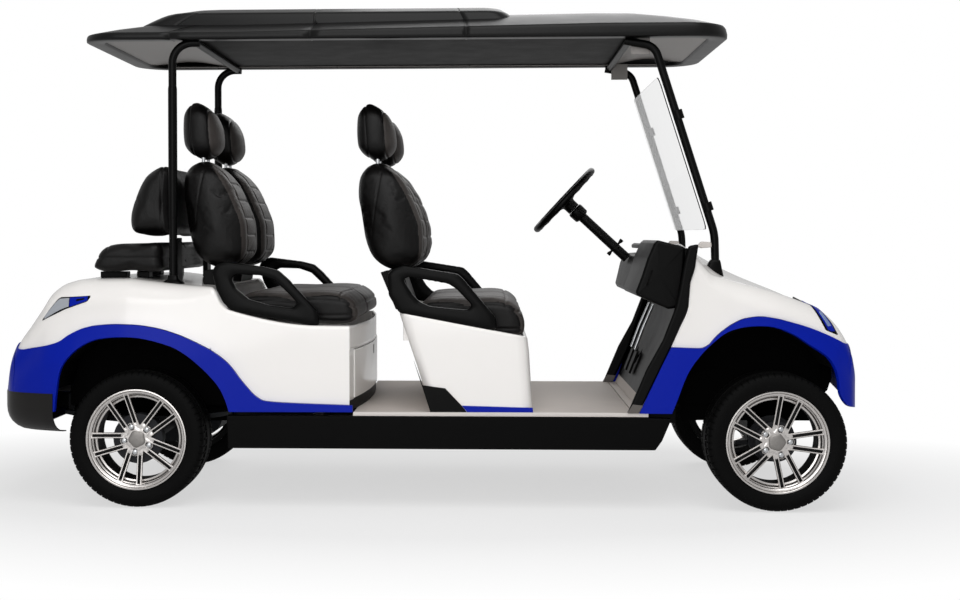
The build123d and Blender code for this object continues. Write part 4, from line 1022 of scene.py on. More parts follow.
def stack(rows, joints=JOINTS, lift=None, arc=9, across=12):
    """Rounded rectangles, one per row of (z, in at the rear, in front, in at the sides, corner radius, weight).

    Columns keep their x: x = base + (rear change)(1 - t)^n + (front change) t^m, and lift(x) times the row's
    weight is added to z. n and m are 6, or less where 6 would fold the columns. Columns at a joint go 2.5 mm in.
    """
    rows = np.array(rows, float)
    z, rear, front, side, corner, weight = rows.T[:, :, None]
    low, high, half = ROOF_LOW + rear, ROOF_HIGH - front, ROOF_HALF - side
    first, last = (low + corner)[0, 0], (high - corner)[0, 0]
    extra = [j + e for j in joints if first < j < last for e in (-3.6, -2.4, 0.0, 2.4, 3.6)]
    base = np.sort(np.concatenate([np.linspace(first, last, 54), extra]))[::-1]
    t = (base - first) / (last - first)
    change = low + corner - first, high - corner - last
    n, m = (np.minimum(6, 0.9 * (last - first) / np.maximum(np.abs(c), 1.0)) for c in change)
    x = base + change[0] * (1 - t) ** n + change[1] * t ** m
    inside = np.zeros(len(base))
    for j in joints:
        inside = np.maximum(inside, 2.5 * (np.abs(base - j) < 3.0))
    y = half - inside + 0 * x
    a = np.linspace(0, np.pi / 2, arc + 2)[None, 1:-1]
    e = np.linspace(-1, 1, across)[None]
    drop = np.broadcast_to(inside, x.shape)
    parts = [
        (x, -y, drop),
        (low + corner - corner * np.sin(a), -half + corner - corner * np.cos(a), 0),
        (low + 0 * e, (half - corner) * e, 0),
        (low + corner - corner * np.cos(a), half - corner + corner * np.sin(a), 0),
        (x[:, ::-1], y[:, ::-1], drop[:, ::-1]),
        (high - corner + corner * np.sin(a), half - corner + corner * np.cos(a), 0),
        (high + 0 * e, -(half - corner) * e, 0),
        (high - corner + corner * np.cos(a), -half + corner - corner * np.sin(a), 0),
    ]
    px = np.concatenate([np.broadcast_to(p[0], (len(rows), p[0].shape[1])) for p in parts], 1)
    py = np.concatenate([np.broadcast_to(p[1], (len(rows), p[0].shape[1])) for p in parts], 1)
    sink = np.concatenate([np.broadcast_to(p[2] + 0 * p[0], p[0].shape) for p in parts], 1)
    steep = np.clip((rows[:, 3] - 10) / 100, 0, 1)[:, None]
    pz = z + (0 if lift is None else lift(px) * weight) - sink * steep
    return np.stack([px, py, pz], -1)


def closing(rings):
    """A last ring, drawn in to the middle line, closes the top."""
    last = rings[-1:].copy()
    centre = (last[..., 0].max() + last[..., 0].min()) / 2
    last[..., 0] = centre + 0.9 * (last[..., 0] - centre)
    last[..., 1] = 0.0
    return np.concatenate([rings, last])


def lip_rise(x):
    """The lip gets 23 mm taller from the rear to the front."""
    return 23 * np.clip((x + 700) / 1390, 0, 1)


SHELL = (
    (1797, 72, 76, 66, 88, 0), (1789, 68, 72, 62, 92, 0), (1787, 64, 68, 58, 96, 0), (1787, 16, 18, 13, 138, 0),
    (1788.4, 6, 9, 5, 145, 0), (1791.5, 1, 3, 1, 149, 0), (1800, 0, 2, 0, 150, 0.3), (1809, 2, 7, 1, 149, 0.8),
    (1814.5, 5, 15, 4, 146, 1), (1818, 13, 26, 13, 142, 1), (1839, 87, 85, 68, 128, 1),
    (1861, 205, 185, 126, 110, 0.95), (1882, 300, 300, 200, 90, 0.95), (1901, 420, 440, 290, 70, 0.8),
    (1911, 560, 600, 380, 50, 0.7), (1915, 800, 800, 470, 30, 0.6))
PANEL = (
    (1846, 196, 790, 116, 90, 0), (1863, 209, 806, 120, 90, 0), (1880, 243, 820, 125, 88, 0),
    (1896, 278, 836, 130, 86, 0), (1904, 300, 845, 134, 84, 0), (1908.5, 318, 852, 140, 80, 0),
    (1912.5, 340, 858, 152, 76, 0), (1927, 400, 872, 192, 70, 0), (1937, 460, 895, 245, 60, 0),
    (1942, 540, 940, 330, 50, 0), (1943.5, 640, 1040, 420, 40, 0))

piece("roof_shell", [(closing(stack(SHELL, lift=lip_rise)), True, False), (closing(stack(PANEL)), True, False)],
      roof_plastic, sharp=70, replaces=("roof",), weld=0.3)

# %% [markdown]
# Under the roof hangs a flat lining. It is black between the posts and grey beyond them, where it slopes
# towards the rim: the grey paints the light that falls on these sloping ends. A thin grey bead hides its edge
# and paints the highlight along it.

# %% Lining
# Grey plastic for the post plates, and painted light on the lining's ends and edge beads.
grey_plates_and_painted_light = finish("abs_grey_plates_and_painted_light", "#8A8683", 0.42, grain_mm=1.4, bump_mm=0.03, mottle=0.1)
lining_black = finish("abs_lining_black", "#040404", 0.6, grain_mm=1.4, bump_mm=0.03, mottle=0.1,
                      Specular_IOR_Level=0.12)


LINING_Z, LINING_HALF, COUNT = 1797.2, 456, 24


def sheet(x0, x1, vault):
    """Lining between two stations, arched by z = level + vault sin(pi t)^1.2."""
    x = np.linspace(x0, x1, COUNT)[:, None]
    y = np.linspace(-LINING_HALF, LINING_HALF, COUNT)[None]
    z = LINING_Z + vault * np.sin(np.pi * np.clip((x - x0) / (x1 - x0), 0, 1)) ** 1.2
    return np.stack([x + 0 * y, y + 0 * x, z + 0 * y], -1)


piece("roof_lining", [sheet(-930, 815, 0)], lining_black, away=(0, 0, 1900))
# Grey ends: painted light on the sloping ends of the lining.
piece("roof_lining_ends_painted_light", [sheet(815, 1101, 22), sheet(-1260, -930, 20)], grey_plates_and_painted_light, away=(0, 0, 1900))


def capped(rings, first, last):
    """Closes a grid: both ends are drawn in to a hundredth of their size round the two end points."""
    return np.concatenate([rings[:1] * 0.01 + first * 0.99, rings, rings[-1:] * 0.01 + last * 0.99])


def around(p, across, other, radius, count):
    """Circles about a path: p + radius (cos a across + sin a other)."""
    a = np.linspace(0, 2 * np.pi, count, endpoint=False)[None, :, None]
    return p[:, None] + radius * (np.cos(a) * across[:, None] + np.sin(a) * other[:, None])


def unit(vectors):
    """The same directions with a length of one."""
    return vectors / np.linalg.norm(vectors, axis=-1, keepdims=True)


def bead(path, radius, count=12):
    """Round bar along a path: centre + r (cos a, sin a) across it."""
    p = np.array(path, float)
    along = unit(np.gradient(p, axis=0))
    up = np.array([0.0, 0.0, 1.0]) if np.abs(along[:, 2]).max() < 0.9 else np.array([0.0, 1.0, 0.0])
    side = unit(np.cross(along, up))
    return capped(around(p, side, np.cross(side, along), radius, count), p[0], p[-1])


# Grey beads along both edges: painted highlight where the lip's inner edge catches the light.
highlight_beads = [(bead([(x, y, 1793.0) for x in np.linspace(-1160, 1010, 40)], 2.6), True, False)
             for y in (-455, 455)]
piece("roof_lining_beads_painted_highlight", highlight_beads, grey_plates_and_painted_light)

# %% [markdown]
# ### Posts
# Four bent steel tubes carry the roof, powder coated black. A tube is a circle carried along a path whose
# corners are rounded, so the bends keep the tube's width. Sleeves, feet and the cross tubes are separate.

# %% Bent tubes
def bent(points, radii, step=12.0):
    """Path through points with each inner corner rounded by an arc of the given radius."""
    p = [np.array(q, float) for q in points]
    out = [p[0]]
    for k, r in enumerate(radii, 1):
        before, after = p[k - 1] - p[k], p[k + 1] - p[k]
        before, after = unit(before), unit(after)
        half = np.arccos(np.clip(before @ after, -1, 1)) / 2
        reach = r / np.tan(half)
        inward = unit(before + after)
        centre = p[k] + inward * r / np.sin(half)
        start, stop = p[k] + before * reach, p[k] + after * reach
        turn = np.linspace(0, 1, max(4, int(r * (np.pi - 2 * half) / step) + 2))[:, None]
        u, v = (start - centre) / r, (stop - centre) / r
        wide = np.arccos(np.clip(u @ v, -1, 1))
        out.extend(centre + r * (u * np.sin((1 - turn) * wide) + v * np.sin(turn * wide)) / np.sin(wide))
    out.append(p[-1])
    return np.array(out)


def tube(path, radius, count=28):
    """Closed tube along a path in one upright plane: centre + r (cos a across + sin a in the plane)."""
    p = np.asarray(path, float)
    across = np.tile([0.0, 1.0, 0.0] if np.ptp(p[:, 1]) < 1e-6 else [0.0, 0.0, 1.0], (len(p), 1))
    plane = unit(np.cross(np.gradient(p, axis=0), across))
    size = np.broadcast_to(np.asarray(radius, float), (len(p),))[:, None, None]
    return (capped(around(p, across, plane, size, count), p[0], p[-1]), True, False)


def box(x0, x1, y0, y1, z0, z1):
    """Six-sided block as one closed grid: four walls, and both ends drawn in to a point."""
    xs = np.array([x0, x1, x1, x0], float)
    zs = np.array([z0, z0, z1, z1], float)
    ring = [np.stack([xs, np.full(4, y), zs], -1) for y in (y0, y1)]
    low, high = (r * 0.001 + r.mean(0) * 0.999 for r in ring)
    return (np.array([low, *ring, high]), True, False)


POST_Y, TUBE_RADIUS, REAR_POST_X = 470.0, 15.5, -972
FRONT_POST = [(1117, 868), (1112, 1040), (884, 1756), (770, 1776)]
BEND = np.array(FRONT_POST[1], float)
RAKE = unit(FRONT_POST[2] - BEND)
FORWARD = np.array([RAKE[1], -RAKE[0]])


def on_post(along, off=0.0):
    """x and z of the point this far up the slanted run of a front post, and this far in front of its axis."""
    return BEND + RAKE * along + FORWARD * off


def frustum(levels):
    """Stack of rounded squares: rows of (z, x, y, half x, half y); |cos|^0.55 squares the circle off."""
    a = np.linspace(0, 2 * np.pi, 32, endpoint=False)[None]
    r = np.array(levels, float)[:, :, None]
    c, s = np.cos(a), np.sin(a)
    x = r[:, 1] + r[:, 3] * np.sign(c) * np.abs(c) ** 0.55
    y = r[:, 2] + r[:, 4] * np.sign(s) * np.abs(s) ** 0.55
    ring = np.stack([x, y, r[:, 0] + 0 * x], -1)
    top, low = ring[-1:].copy(), ring[:1].copy()
    for end in (top, low):
        middle = end[..., :2].mean(1, keepdims=True)
        end[..., :2] = middle + 0.002 * (end[..., :2] - middle)
    return (np.concatenate([low, ring, top]), True, False)


six = np.linspace(0, 2 * np.pi, 7)[:6]
front, rear, sleeves, feet, plates, bolts = [], [], [], [], [], []
for y in (-POST_Y, POST_Y):
    front.append(tube(bent([(x, y, z) for x, z in FRONT_POST], (220, 60)), TUBE_RADIUS))
    rear.append(tube(bent([(REAR_POST_X, y, 846), (REAR_POST_X, y, 1779), (-866, y, 1779)], (78,)), TUBE_RADIUS))
    for a0, a1 in ((88, 122), (456, 492)):
        (xa, za), (xb, zb) = on_post(a0, 6), on_post(a1, 6)
        sleeves.append(tube(np.linspace((xa, y, za), (xb, y, zb), 3), 19.5))
        (xa, za), (xb, zb) = on_post(a0 + 4, 20), on_post(a1 - 4, 20)
        sleeves.append(tube(np.linspace((xa, y, za), (xb, y, zb), 3), 5.0))
    sleeves.append(tube([(REAR_POST_X, y, z) for z in (1100, 1110, 1600, 1612)], [16.2, 17.4, 17.4, 16.2]))
    feet.append(frustum([(848, 1098, y, 45, 22), (856, 1102, y, 46, 23), (880, 1104, y, 42, 22),
                         (905, 1108, y, 32, 21), (928, 1112, y, 24, 20), (938, 1114, y, 19, 18),
                         (941, 1114, y, 15, 15)]))
    feet.append(frustum([(839, -972, y, 40, 40), (842, -972, y, 41, 41), (852, -972, y, 40, 40),
                         (858, -972, y, 34, 34), (866, -972, y, 22, 22), (880, -972, y, 18.5, 18.5)]))
    inner = y * (1 - 16 / abs(y))
    plates.append(box(796, 868, inner - 2, inner + 2, 1727, 1796.5))
    for bx, bz in ((812, 1782), (840, 1768)):
        out = inner + 8 * np.sign(y)
        bolts.append((np.array([[(bx + r * np.cos(a), yy, bz + r * np.sin(a)) for a in six]
                                for yy, r in ((inner, 7), (out - 2, 7), (out, 6), (out, 0.01))]), True, False))
for bx, group in ((790.0, front), (-882.0, rear)):
    group.append(tube([(bx, y, 1781) for y in (-POST_Y, -460, 460, POST_Y)], 14.0))

post_black = finish("powder_coated_tube_black", "#040404", 0.34, grain_mm=0.9, bump_mm=0.02, mottle=0.1,
                    Specular_IOR_Level=0.1)
piece("front_posts", front, post_black, replaces=("front_struts",))
piece("rear_posts", rear, post_black, replaces=("rear_struts",))
piece("post_sleeves", sleeves, smooth_plastic, round_mm=1.2)
piece("post_feet", feet, smooth_plastic)
piece("post_plates", plates, grey_plates_and_painted_light, round_mm=0.8)
piece("post_plate_bolts", bolts, dark_chrome)

# %% [markdown]
# ### Windshield
# A flat sheet of clear plastic, five millimetres thick, leans on the front posts. Its rounded corners and
# polished edge are what the eye catches; the sheet itself is hardly there.

# %% Windshield
def pane(low, high, half, off, thick, corner=40.0, count=8):
    """Rounded rectangle in the plane of the posts, as a closed slab: rings for the front face, edge and back."""
    a = np.linspace(0, np.pi / 2, count)
    u = np.concatenate([high - corner + corner * np.cos(a), low + corner - corner * np.sin(a),
                        low + corner - corner * np.cos(a), high - corner + corner * np.sin(a)])
    v = np.concatenate([half - corner + corner * np.sin(a), half - corner + corner * np.cos(a),
                        -half + corner - corner * np.sin(a), -half + corner - corner * np.cos(a)])
    rings = []
    for o, f in ((off, 0.001), (off, 0.985), (off + 0.6, 1.0), (off + thick - 0.6, 1.0), (off + thick, 0.985),
                 (off + thick, 0.001)):
        mid = (low + high) / 2
        along = mid + (u - mid) * (f if f < 0.5 else 1 - (1 - f) * 40 / (high - low))
        wide = v * (f if f < 0.5 else 1 - (1 - f) * 40 / half)
        base = BEND[:, None] + RAKE[:, None] * along - FORWARD[:, None] * o
        rings.append(np.stack([base[0], wide, base[1]], -1))
    return (np.array(rings), True, False)


piece("windshield_pane", [pane(24, 636, 470, 20.5, 4.5)], clear_glass, replaces=("windshield",), sharp=30)

# %% [markdown]
# ## Bases, floor and cab
# The seat bases are moulded boxes. Their upright corners are rounded so that they come out of the mould, and
# this is where light runs down them, so each level is a rounded rectangle whose length follows the side view.

# %% Front seat base
def leaning_box(low, levels, z_low, z_high, half, corner, rim, sink, count=14):
    """Rounded rectangles from level to level: rows (share, x at the back, x in front); top z follows x.

    z = z_low + share (z_top(x) - z_low); a rim turns in at the top and drops to the seat's floor.
    """
    table = np.array(levels, float)
    share = np.concatenate([table[:, 0], [1, 1, 1]])
    back = np.concatenate([table[:, 1], [table[-1, 1] + 1.5, table[-1, 1] + rim[0], table[-1, 1] + rim[0] + 1]])
    front = np.concatenate([table[:, 2], [table[-1, 2] - 1.5, table[-1, 2] - rim[0], table[-1, 2] - rim[0] - 1]])
    wide = np.concatenate([np.full(len(table), half), [half - 1.5, half - rim[1], half - rim[1] - 1]])
    share, back, front, wide = (k[:, None] for k in (share, back, front, wide))
    r = np.minimum(corner, np.maximum(wide - half + corner, 6))
    a = np.linspace(0, np.pi / 2, count)[None]
    e = np.linspace(0, 1, 30)[None, 1:-1]

    def run(p, q):
        return p + (q - p) * e

    x = np.concatenate([run(front - r, back + r), back + r - r * np.sin(a), back + 0 * e, back + r - r * np.cos(a),
                        run(back + r, front - r), front - r + r * np.sin(a), front + 0 * e,
                        front - r + r * np.cos(a)], 1)
    y = np.concatenate([-wide + 0 * e, -wide + r - r * np.cos(a), run(-wide + r, wide - r), wide - r + r * np.sin(a),
                        wide + 0 * e, wide - r + r * np.cos(a), run(wide - r, -wide + r),
                        -wide + r - r * np.sin(a)], 1)
    top = np.interp(x, low, [z_high[0], z_high[1]])
    z = z_low + share * (top - z_low)
    z[-1] = sink
    centre = np.stack([x[-1] * 0.001 + x[-1].mean() * 0.999, y[-1] * 0.001, z[-1]], -1)
    return (np.concatenate([np.stack([x, y, z], -1), centre[None]]), True, False)


front_base = leaning_box((-88, 396), [(0.0, 31, 418), (0.25, 5, 413), (0.5, -24, 409), (0.8, -63, 404),
                                      (0.97, -85, 398), (0.995, -87, 396)], 366.4, (742, 650), 585, 44, (12, 42), 634)
piece("front_seat_base_white", [front_base], white_paint, sharp=60, replaces=("seat_base",))
rounded("seat_base_trim", smooth_plastic, 2.0)


def slab(outline, y0, y1):
    """Flat side outline given a thickness across the cart, both ends closed by a fan to the middle."""
    p = np.array(outline, float)
    ring = [np.stack([p[:, 0], np.full(len(p), y), p[:, 1]], -1) for y in (y0, y1)]
    mid = p.mean(0)
    small = mid + 0.001 * (p - mid)
    caps = [np.stack([small[:, 0], np.full(len(p), y), small[:, 1]], -1) for y in (y0, y1)]
    return (np.array([caps[0], ring[0], ring[1], caps[1]]), True, False)


strips = [slab([(150, 391.6), (284, 388), (417, 384.5), (418, 366.6), (290, 366.6), (170, 366.6)], 578, 588.5)]
piece("front_base_strips_blue", strips, blue_paint, round_mm=1.5, both=True)

# %% [markdown]
# The wall under the second row bows forward. It is a fixed frame with a storage door in it, hinged at the
# bottom, and a dark strip along its foot that paints the shade under the door.

# %% Wall of the second row
WALL_X, WALL_BOW, WALL_HALF = -276, 50, 585
FRAME_HALF, OPENING_HALF, DOOR_HALF = 574, 503, 499


def bowed_sheet(y, z, inset=0.0):
    """Points of the bowed wall: an arc, written as a parabola, less an inset."""
    x = WALL_X + WALL_BOW * (1 - (y / WALL_HALF) ** 2) - inset
    return np.stack([x + 0 * z, y + 0 * z, z + 0 * y], -1)


def wall(y0, y1, z0, z1, inset=0.0, ny=60, nz=8):
    """Upright strip of the bowed wall."""
    return bowed_sheet(np.linspace(y0, y1, ny)[None], np.linspace(z0, z1, nz)[:, None], inset)


frame_parts = [wall(-FRAME_HALF, FRAME_HALF, 599, 689, 4), wall(-FRAME_HALF, -OPENING_HALF, 407, 599, 4, 8),
               wall(OPENING_HALF, FRAME_HALF, 407, 599, 4, 8)]
piece("second_row_wall_white", frame_parts, white_paint, away=(-700, 0, 500), thick=6)
# Dark strip at the wall's foot: painted shade under the storage door.
piece("second_row_painted_shade_strip", [wall(-FRAME_HALF, FRAME_HALF, 367, 407, 6)], grained_plastic,
      away=(-700, 0, 400), thick=6)
piece("storage_door_white", [wall(-DOOR_HALF, DOOR_HALF, 411, 595.5, 0.4)], white_paint, "storage_door",
      away=(-700, 0, 500), thick=9, round_mm=2.5, replaces=("storage_door",))
piece("storage_door_latch", [wall(-58, -38, 546, 584, -0.6, 6)], smooth_plastic, "storage_door",
      away=(-700, 0, 500), thick=3, round_mm=1.0)

# %% [markdown]
# ### Floor
# Grey vinyl covers the floor and runs up the toe board. Pale strips finish its long edges.

# %% Floor
floor_grey = finish("floor_mat_vinyl_pale", "#BDB5AF", 0.6, grain_mm=2.4, bump_mm=0.12, mottle=0.08,
                    Specular_IOR_Level=0.2)
strip_grey = finish("edge_strip_aluminium_painted", "#D4CEC9", 0.4, grain_mm=1.2, bump_mm=0.02)


CLOSED = 1e9  # an inset that shrinks a ring to its middle, which closes the end


def block_of(x0, x1, y0, y1, z0, z1, soft):
    """Block with softened upper edges: a stack of rectangles, each drawn in by an inset."""
    xm, ym, xs, ys = (x0 + x1) / 2, (y0 + y1) / 2, (x1 - x0) / 2, (y1 - y0) / 2
    corner = np.array([(1, -1), (1, 1), (-1, 1), (-1, -1)], float)
    rings = []
    for z, d in ((z0, CLOSED), (z0, 0.3), (z0 + 0.3, 0), (z1 - soft, 0), (z1 - soft * 0.3, soft * 0.3), (z1, soft),
                 (z1, CLOSED)):
        fx, fy = (xs - d, ys - d) if d < CLOSED else (0.01, 0.01)
        rings.append(np.stack([xm + corner[:, 0] * fx, ym + corner[:, 1] * fy, np.full(4, z)], -1))
    return (np.array(rings), True, False)


piece("floor_mats", [block_of(-260, 792, -580, 580, 353, 366, 1.5), block_of(796, 848, -580, 580, 353, 366, 1.5)],
      floor_grey, sharp=30, replaces=("floor_pan",))
piece("floor_edge_strips", [block_of(-261, 849, 581, 596, 352.5, 367.2, 3.0)], strip_grey, both=True, sharp=30)
rounded("sills", grained_plastic, 4.0)
trim_ends = [slab([(771, 366.6), (813, 366.6), (829, 396), (790, 400)], 571, 601.2)]
piece("cowl_trim_ends_grey", trim_ends, finish("polypropylene_grey", "#57524E", 0.5, grain_mm=1.2, bump_mm=0.05),
      round_mm=1.5, both=True)

# %% [markdown]
# ### Dashboard and cowl
# The dashboard is a box with soft edges: wide and tall on the passenger's side, and lower where the steering
# column passes. Each cut across it is the same outline, drawn in near the ends by a quarter circle.

# %% Rounded mouldings
def filleted(points, radius, count=6):
    """Closed outline whose corners are arcs."""
    p = np.array(points, float)
    out = []
    for k in range(len(p)):
        u, v = p[k - 1] - p[k], p[(k + 1) % len(p)] - p[k]
        lu, lv = np.linalg.norm(u), np.linalg.norm(v)
        u, v = u / lu, v / lv
        half = np.arccos(np.clip(u @ v, -1, 1)) / 2
        reach = min(radius / np.tan(half), lu * 0.45, lv * 0.45)
        t = np.linspace(0, 1, count)[:, None]
        a, b, c = p[k] + u * reach, p[k], p[k] + v * reach
        out.append((1 - t) ** 2 * a + 2 * t * (1 - t) * b + t ** 2 * c)
    return np.concatenate(out)


def moulded(points, y0, y1, radius, fillet, rows=10):
    """Outline swept from y0 to y1; at distance d from an end it is drawn in by R - sqrt(R^2 - (R - d)^2)."""
    p = filleted(points, fillet)
    along = np.roll(p, -1, 0) - np.roll(p, 1, 0)
    along /= np.maximum(np.linalg.norm(along, axis=1, keepdims=True), 1e-9)
    inward = np.stack([-along[:, 1], along[:, 0]], -1)
    if np.sum((p.mean(0) - p) * inward) < 0:
        inward = -inward
    a = np.linspace(0, np.pi / 2, rows)
    y = np.concatenate([[y0], y0 + radius * (1 - np.cos(a)), y1 - radius * (1 - np.cos(a[::-1])), [y1]])
    draw = np.concatenate([[CLOSED], radius * (1 - np.sin(a)), radius * (1 - np.sin(a[::-1])), [CLOSED]])
    rings = []
    for yy, d in zip(y, draw):
        flat = p + inward * d if d < CLOSED else p.mean(0) + 0.001 * (p - p.mean(0))
        rings.append(np.stack([flat[:, 0], np.full(len(p), yy), flat[:, 1]], -1))
    return (np.array(rings), True, False)


dash_black = finish("abs_moulded_black_soft_touch", "#040404", 0.4, grain_mm=1.2, bump_mm=0.05, mottle=0.1,
                    Specular_IOR_Level=0.1)
TALL = [(848, 948), (872, 1004), (886, 1016), (990, 989), (986, 880), (974, 762), (926, 756), (808, 808), (804, 822),
        (826, 880)]
LOWER = [(846, 912), (862, 946), (880, 954), (986, 962), (984, 870), (974, 764), (926, 760), (832, 802), (824, 818),
         (836, 868)]
dash_parts = [moulded(TALL, -571, -60, 13, 12), moulded(LOWER, -66, 571, 13, 12),
              moulded([(889, 992), (900, 1000), (984, 985), (984, 975), (890, 978)], 60, 480, 6, 5)]
toe = [slab([(827, 367), (843, 367), (985, 700), (1000, 880), (1000, 985), (987, 985), (986, 880), (971, 703)],
            -571, 571)]
piece("dashboard", dash_parts, dash_black, sharp=60, replaces=("dash",))
piece("toe_board", toe, dash_black)
mat = np.array([(825.0, 367.6), (846, 410), (880, 482), (914, 555)])
foot = np.stack([mat[:, 0][:, None] + 0 * np.linspace(-1, 1, 12), np.linspace(-568, 568, 12)[None] + 0 * mat[:, :1],
                 mat[:, 1][:, None] + 0 * np.linspace(-1, 1, 12)], -1)
piece("toe_board_mat", [foot], floor_grey, away=(1000, 0, 400), thick=3, round_mm=1)
rounded("cowl_trims", dash_black, 9.0)
handle = [moulded([(862, 905), (868, 906), (848, 846), (842, 846)], -577.5, -569, 2.5, 2)]
piece("dash_grab_rib", handle, dash_black)

# %% [markdown]
# ### Steering wheel, column and pedals
# The rim is a torus on a tilted axis; the boss and the column shroud are profiles turned about that axis.

# %% Steering
tilt = math.radians(43)
down = np.array([math.cos(tilt), 0, -math.sin(tilt)])
sideways = np.array([0.0, 1.0, 0.0])
upward = np.array([math.sin(tilt), 0, math.cos(tilt)])
hub_at = np.array([578.0, 270.0, 1187.0])
RIM_RADIUS, GRIP_RADIUS = 171, 14.5


def turned_on_axis(profile, count=40):
    """Profile of (radius, distance down the axis) turned about the column: c + r (cos t, sin t) + d axis."""
    p = np.array(profile, float)
    t = np.linspace(0, 2 * np.pi, count, endpoint=False)[None, :, None]
    ring = np.cos(t) * sideways + np.sin(t) * upward
    return (hub_at + p[:, 1][:, None, None] * down + np.maximum(p[:, 0], 0.01)[:, None, None] * ring, True, False)


t, b = np.meshgrid(np.linspace(0, 2 * np.pi, 96, endpoint=False), np.linspace(0, 2 * np.pi, 20, endpoint=False),
                   indexing="ij")
grip = GRIP_RADIUS + 1.2 * np.cos(16 * t) * (np.cos(b) < 0)
ring_dir = np.cos(t)[..., None] * sideways + np.sin(t)[..., None] * upward
rim_grid = hub_at + (RIM_RADIUS + grip * np.cos(b))[..., None] * ring_dir - (grip * np.sin(b))[..., None] * down
wheel_parts = [(rim_grid, True, True),
               turned_on_axis([(0, -2), (34, -2), (44, 1), (49, 6), (50, 13), (44, 19), (32, 23), (29, 30),
                               (29, 58.5), (0, 58.5)])]
for turn in (0.0, math.pi, 1.5 * math.pi):
    out_dir = math.cos(turn) * sideways + math.sin(turn) * upward
    over = -math.sin(turn) * sideways + math.cos(turn) * upward
    r = np.linspace(30, 168, 14)
    middle = hub_at + r[:, None] * out_dir + (9 * (1 - ease((r - 60) / 90)) + 1)[:, None] * down
    half = 17 - 6 * np.sin(np.pi * (r - 30) / 138) + 2
    a = np.linspace(0, 2 * np.pi, 18, endpoint=False)
    section = (middle[:, None] + (half[:, None] * np.cos(a))[..., None] * over
               + (5.5 * np.sin(a))[None, :, None] * down)
    wheel_parts.append((capped(section, middle[0], middle[-1]), True, False))
piece("steering_wheel_moulded", wheel_parts, smooth_plastic, "steering_wheel", sharp=60, replaces=("steering_wheel",))
column_parts = [turned_on_axis([(0, 60.3), (31, 60.3), (34, 63), (35, 70), (34, 102), (30, 107), (21, 110), (21, 371),
                                (0, 371)])]
piece("steering_column_shroud", column_parts, dash_black, replaces=("steering_column",))
stalks = []
for way in (-1, 1):
    stem = hub_at + 300 * down + way * np.linspace(16, 44, 4)[:, None] * upward + np.array([0, -10.0, 0])
    size = np.array([5.0, 5.0, 8.5, 8.5])[:, None, None]
    ring = around(stem, np.tile(sideways, (4, 1)), np.tile(down, (4, 1)), size, 16)
    stalks.append((capped(ring, stem[0], stem[-1]), True, False))
piece("column_clamp_screws", stalks, smooth_plastic, sharp=30)

rounded("pedals", grained_plastic, 2.0)
arms = [tube([(872, y, 548), (906, y, 640), (950, y, 742)], 6.0, 14) for y in (150.0, 300.0)]
piece("pedal_arms", arms, bright_steel)

# %% [markdown]
# ### Armrests, bumper and other mouldings
# These keep the solid's outline and get the soft edges of a moulding.

# %% Soft edges
def hand_loop(outer, inner, y0, y1, count=160, across=20):
    """Loop between two outlines seen from one middle: r = mean + half width |cos|^0.55, y likewise with |sin|."""
    outer, inner = filleted(outer, 22, 8), filleted(inner, 22, 8)
    middle = inner.mean(0)
    t = np.linspace(-np.pi, np.pi, count, endpoint=False)
    reach = []
    for line in (outer, inner):
        whole = np.concatenate([line + (np.roll(line, -1, 0) - line) * q
                                for q in np.linspace(0, 1, 6, endpoint=False)])
        away = whole - middle
        a, r = np.arctan2(away[:, 1], away[:, 0]), np.hypot(away[:, 0], away[:, 1])
        order = np.argsort(a)
        reach.append(np.interp(t, a[order], r[order], period=2 * np.pi))
    b = np.linspace(0, 2 * np.pi, across, endpoint=False)
    c, s = (np.sign(f) * np.abs(f) ** 0.55 for f in (np.cos(b), np.sin(b)))
    r = ((reach[0] + reach[1]) / 2)[:, None] + ((reach[0] - reach[1]) / 2)[:, None] * c[None]
    y = (y0 + y1) / 2 + (y1 - y0) / 2 * s[None] + 0 * r
    return (np.stack([middle[0] + r * np.cos(t)[:, None], y, middle[1] + r * np.sin(t)[:, None]], -1), True, True)


ARM_Y = (545, 583)
FRONT_ARM = ([(-88, 741), (-128, 808), (-131, 889), (-109, 909), (-72, 922), (-15, 912), (135, 888), (153, 872),
              (278, 724), (284, 672), (100, 706)],
             [(-72, 868), (-50, 877), (100, 850), (128, 832), (188, 770), (170, 752), (28, 767), (-9, 783),
              (-34, 808)])
SECOND_ARM = ([(-760, 780), (-783, 824), (-802, 895), (-788, 924), (-751, 935), (-598, 915), (-547, 902), (-514, 873),
               (-395, 743), (-391, 691), (-411, 692), (-732, 750)],
              [(-728, 872), (-706, 886), (-617, 883), (-562, 864), (-507, 812), (-474, 776), (-495, 759), (-580, 770),
               (-659, 792), (-708, 832)])
piece("armrest_loops", [hand_loop(*FRONT_ARM, *ARM_Y), hand_loop(*SECOND_ARM, *ARM_Y)], smooth_plastic, both=True,
      sharp=80, replaces=("armrests",))

# %% [markdown]
# The rear bumper is a tall rubbery cap round the tail. Its plan is the blue panel's own, pushed out, and the
# lower half curls under.

# %% Rear bumper
side_x = np.linspace(-1404, -1628, 30)
hug = rear_at(side_x, rear_level(side_x, np.full(30, 405.0)), PROUD + 3.5)
tail_run = np.array([(-1638.0, hug[-1, 1] * 0.93), (-1642.0, hug[-1, 1] * 0.8), (-1643.5, hug[-1, 1] * 0.4),
                     (-1644.0, 0.0)])
half_plan = np.concatenate([hug[:, :2], tail_run])
plan = spline(np.concatenate([half_plan, half_plan[-2::-1] * (1, -1)]), 160)
along = unit(np.gradient(plan, axis=0))
out_of = np.stack([-along[:, 1], along[:, 0]], -1)
out_of *= np.sign(np.sum(out_of[80] * (-1, 0)))
BUMPER = np.array([(434, -2.5), (431, -0.5), (426, 0), (400, 0), (372, 0), (350, -2), (330, -8), (312, -19),
                   (298, -34), (287, -55), (281, -80), (279, -105)], float)
skin = plan[None] + BUMPER[:, 1][:, None, None] * out_of[None]
skin = np.concatenate([skin, np.broadcast_to(BUMPER[:, :1][:, None], skin.shape[:2] + (1,))], -1)
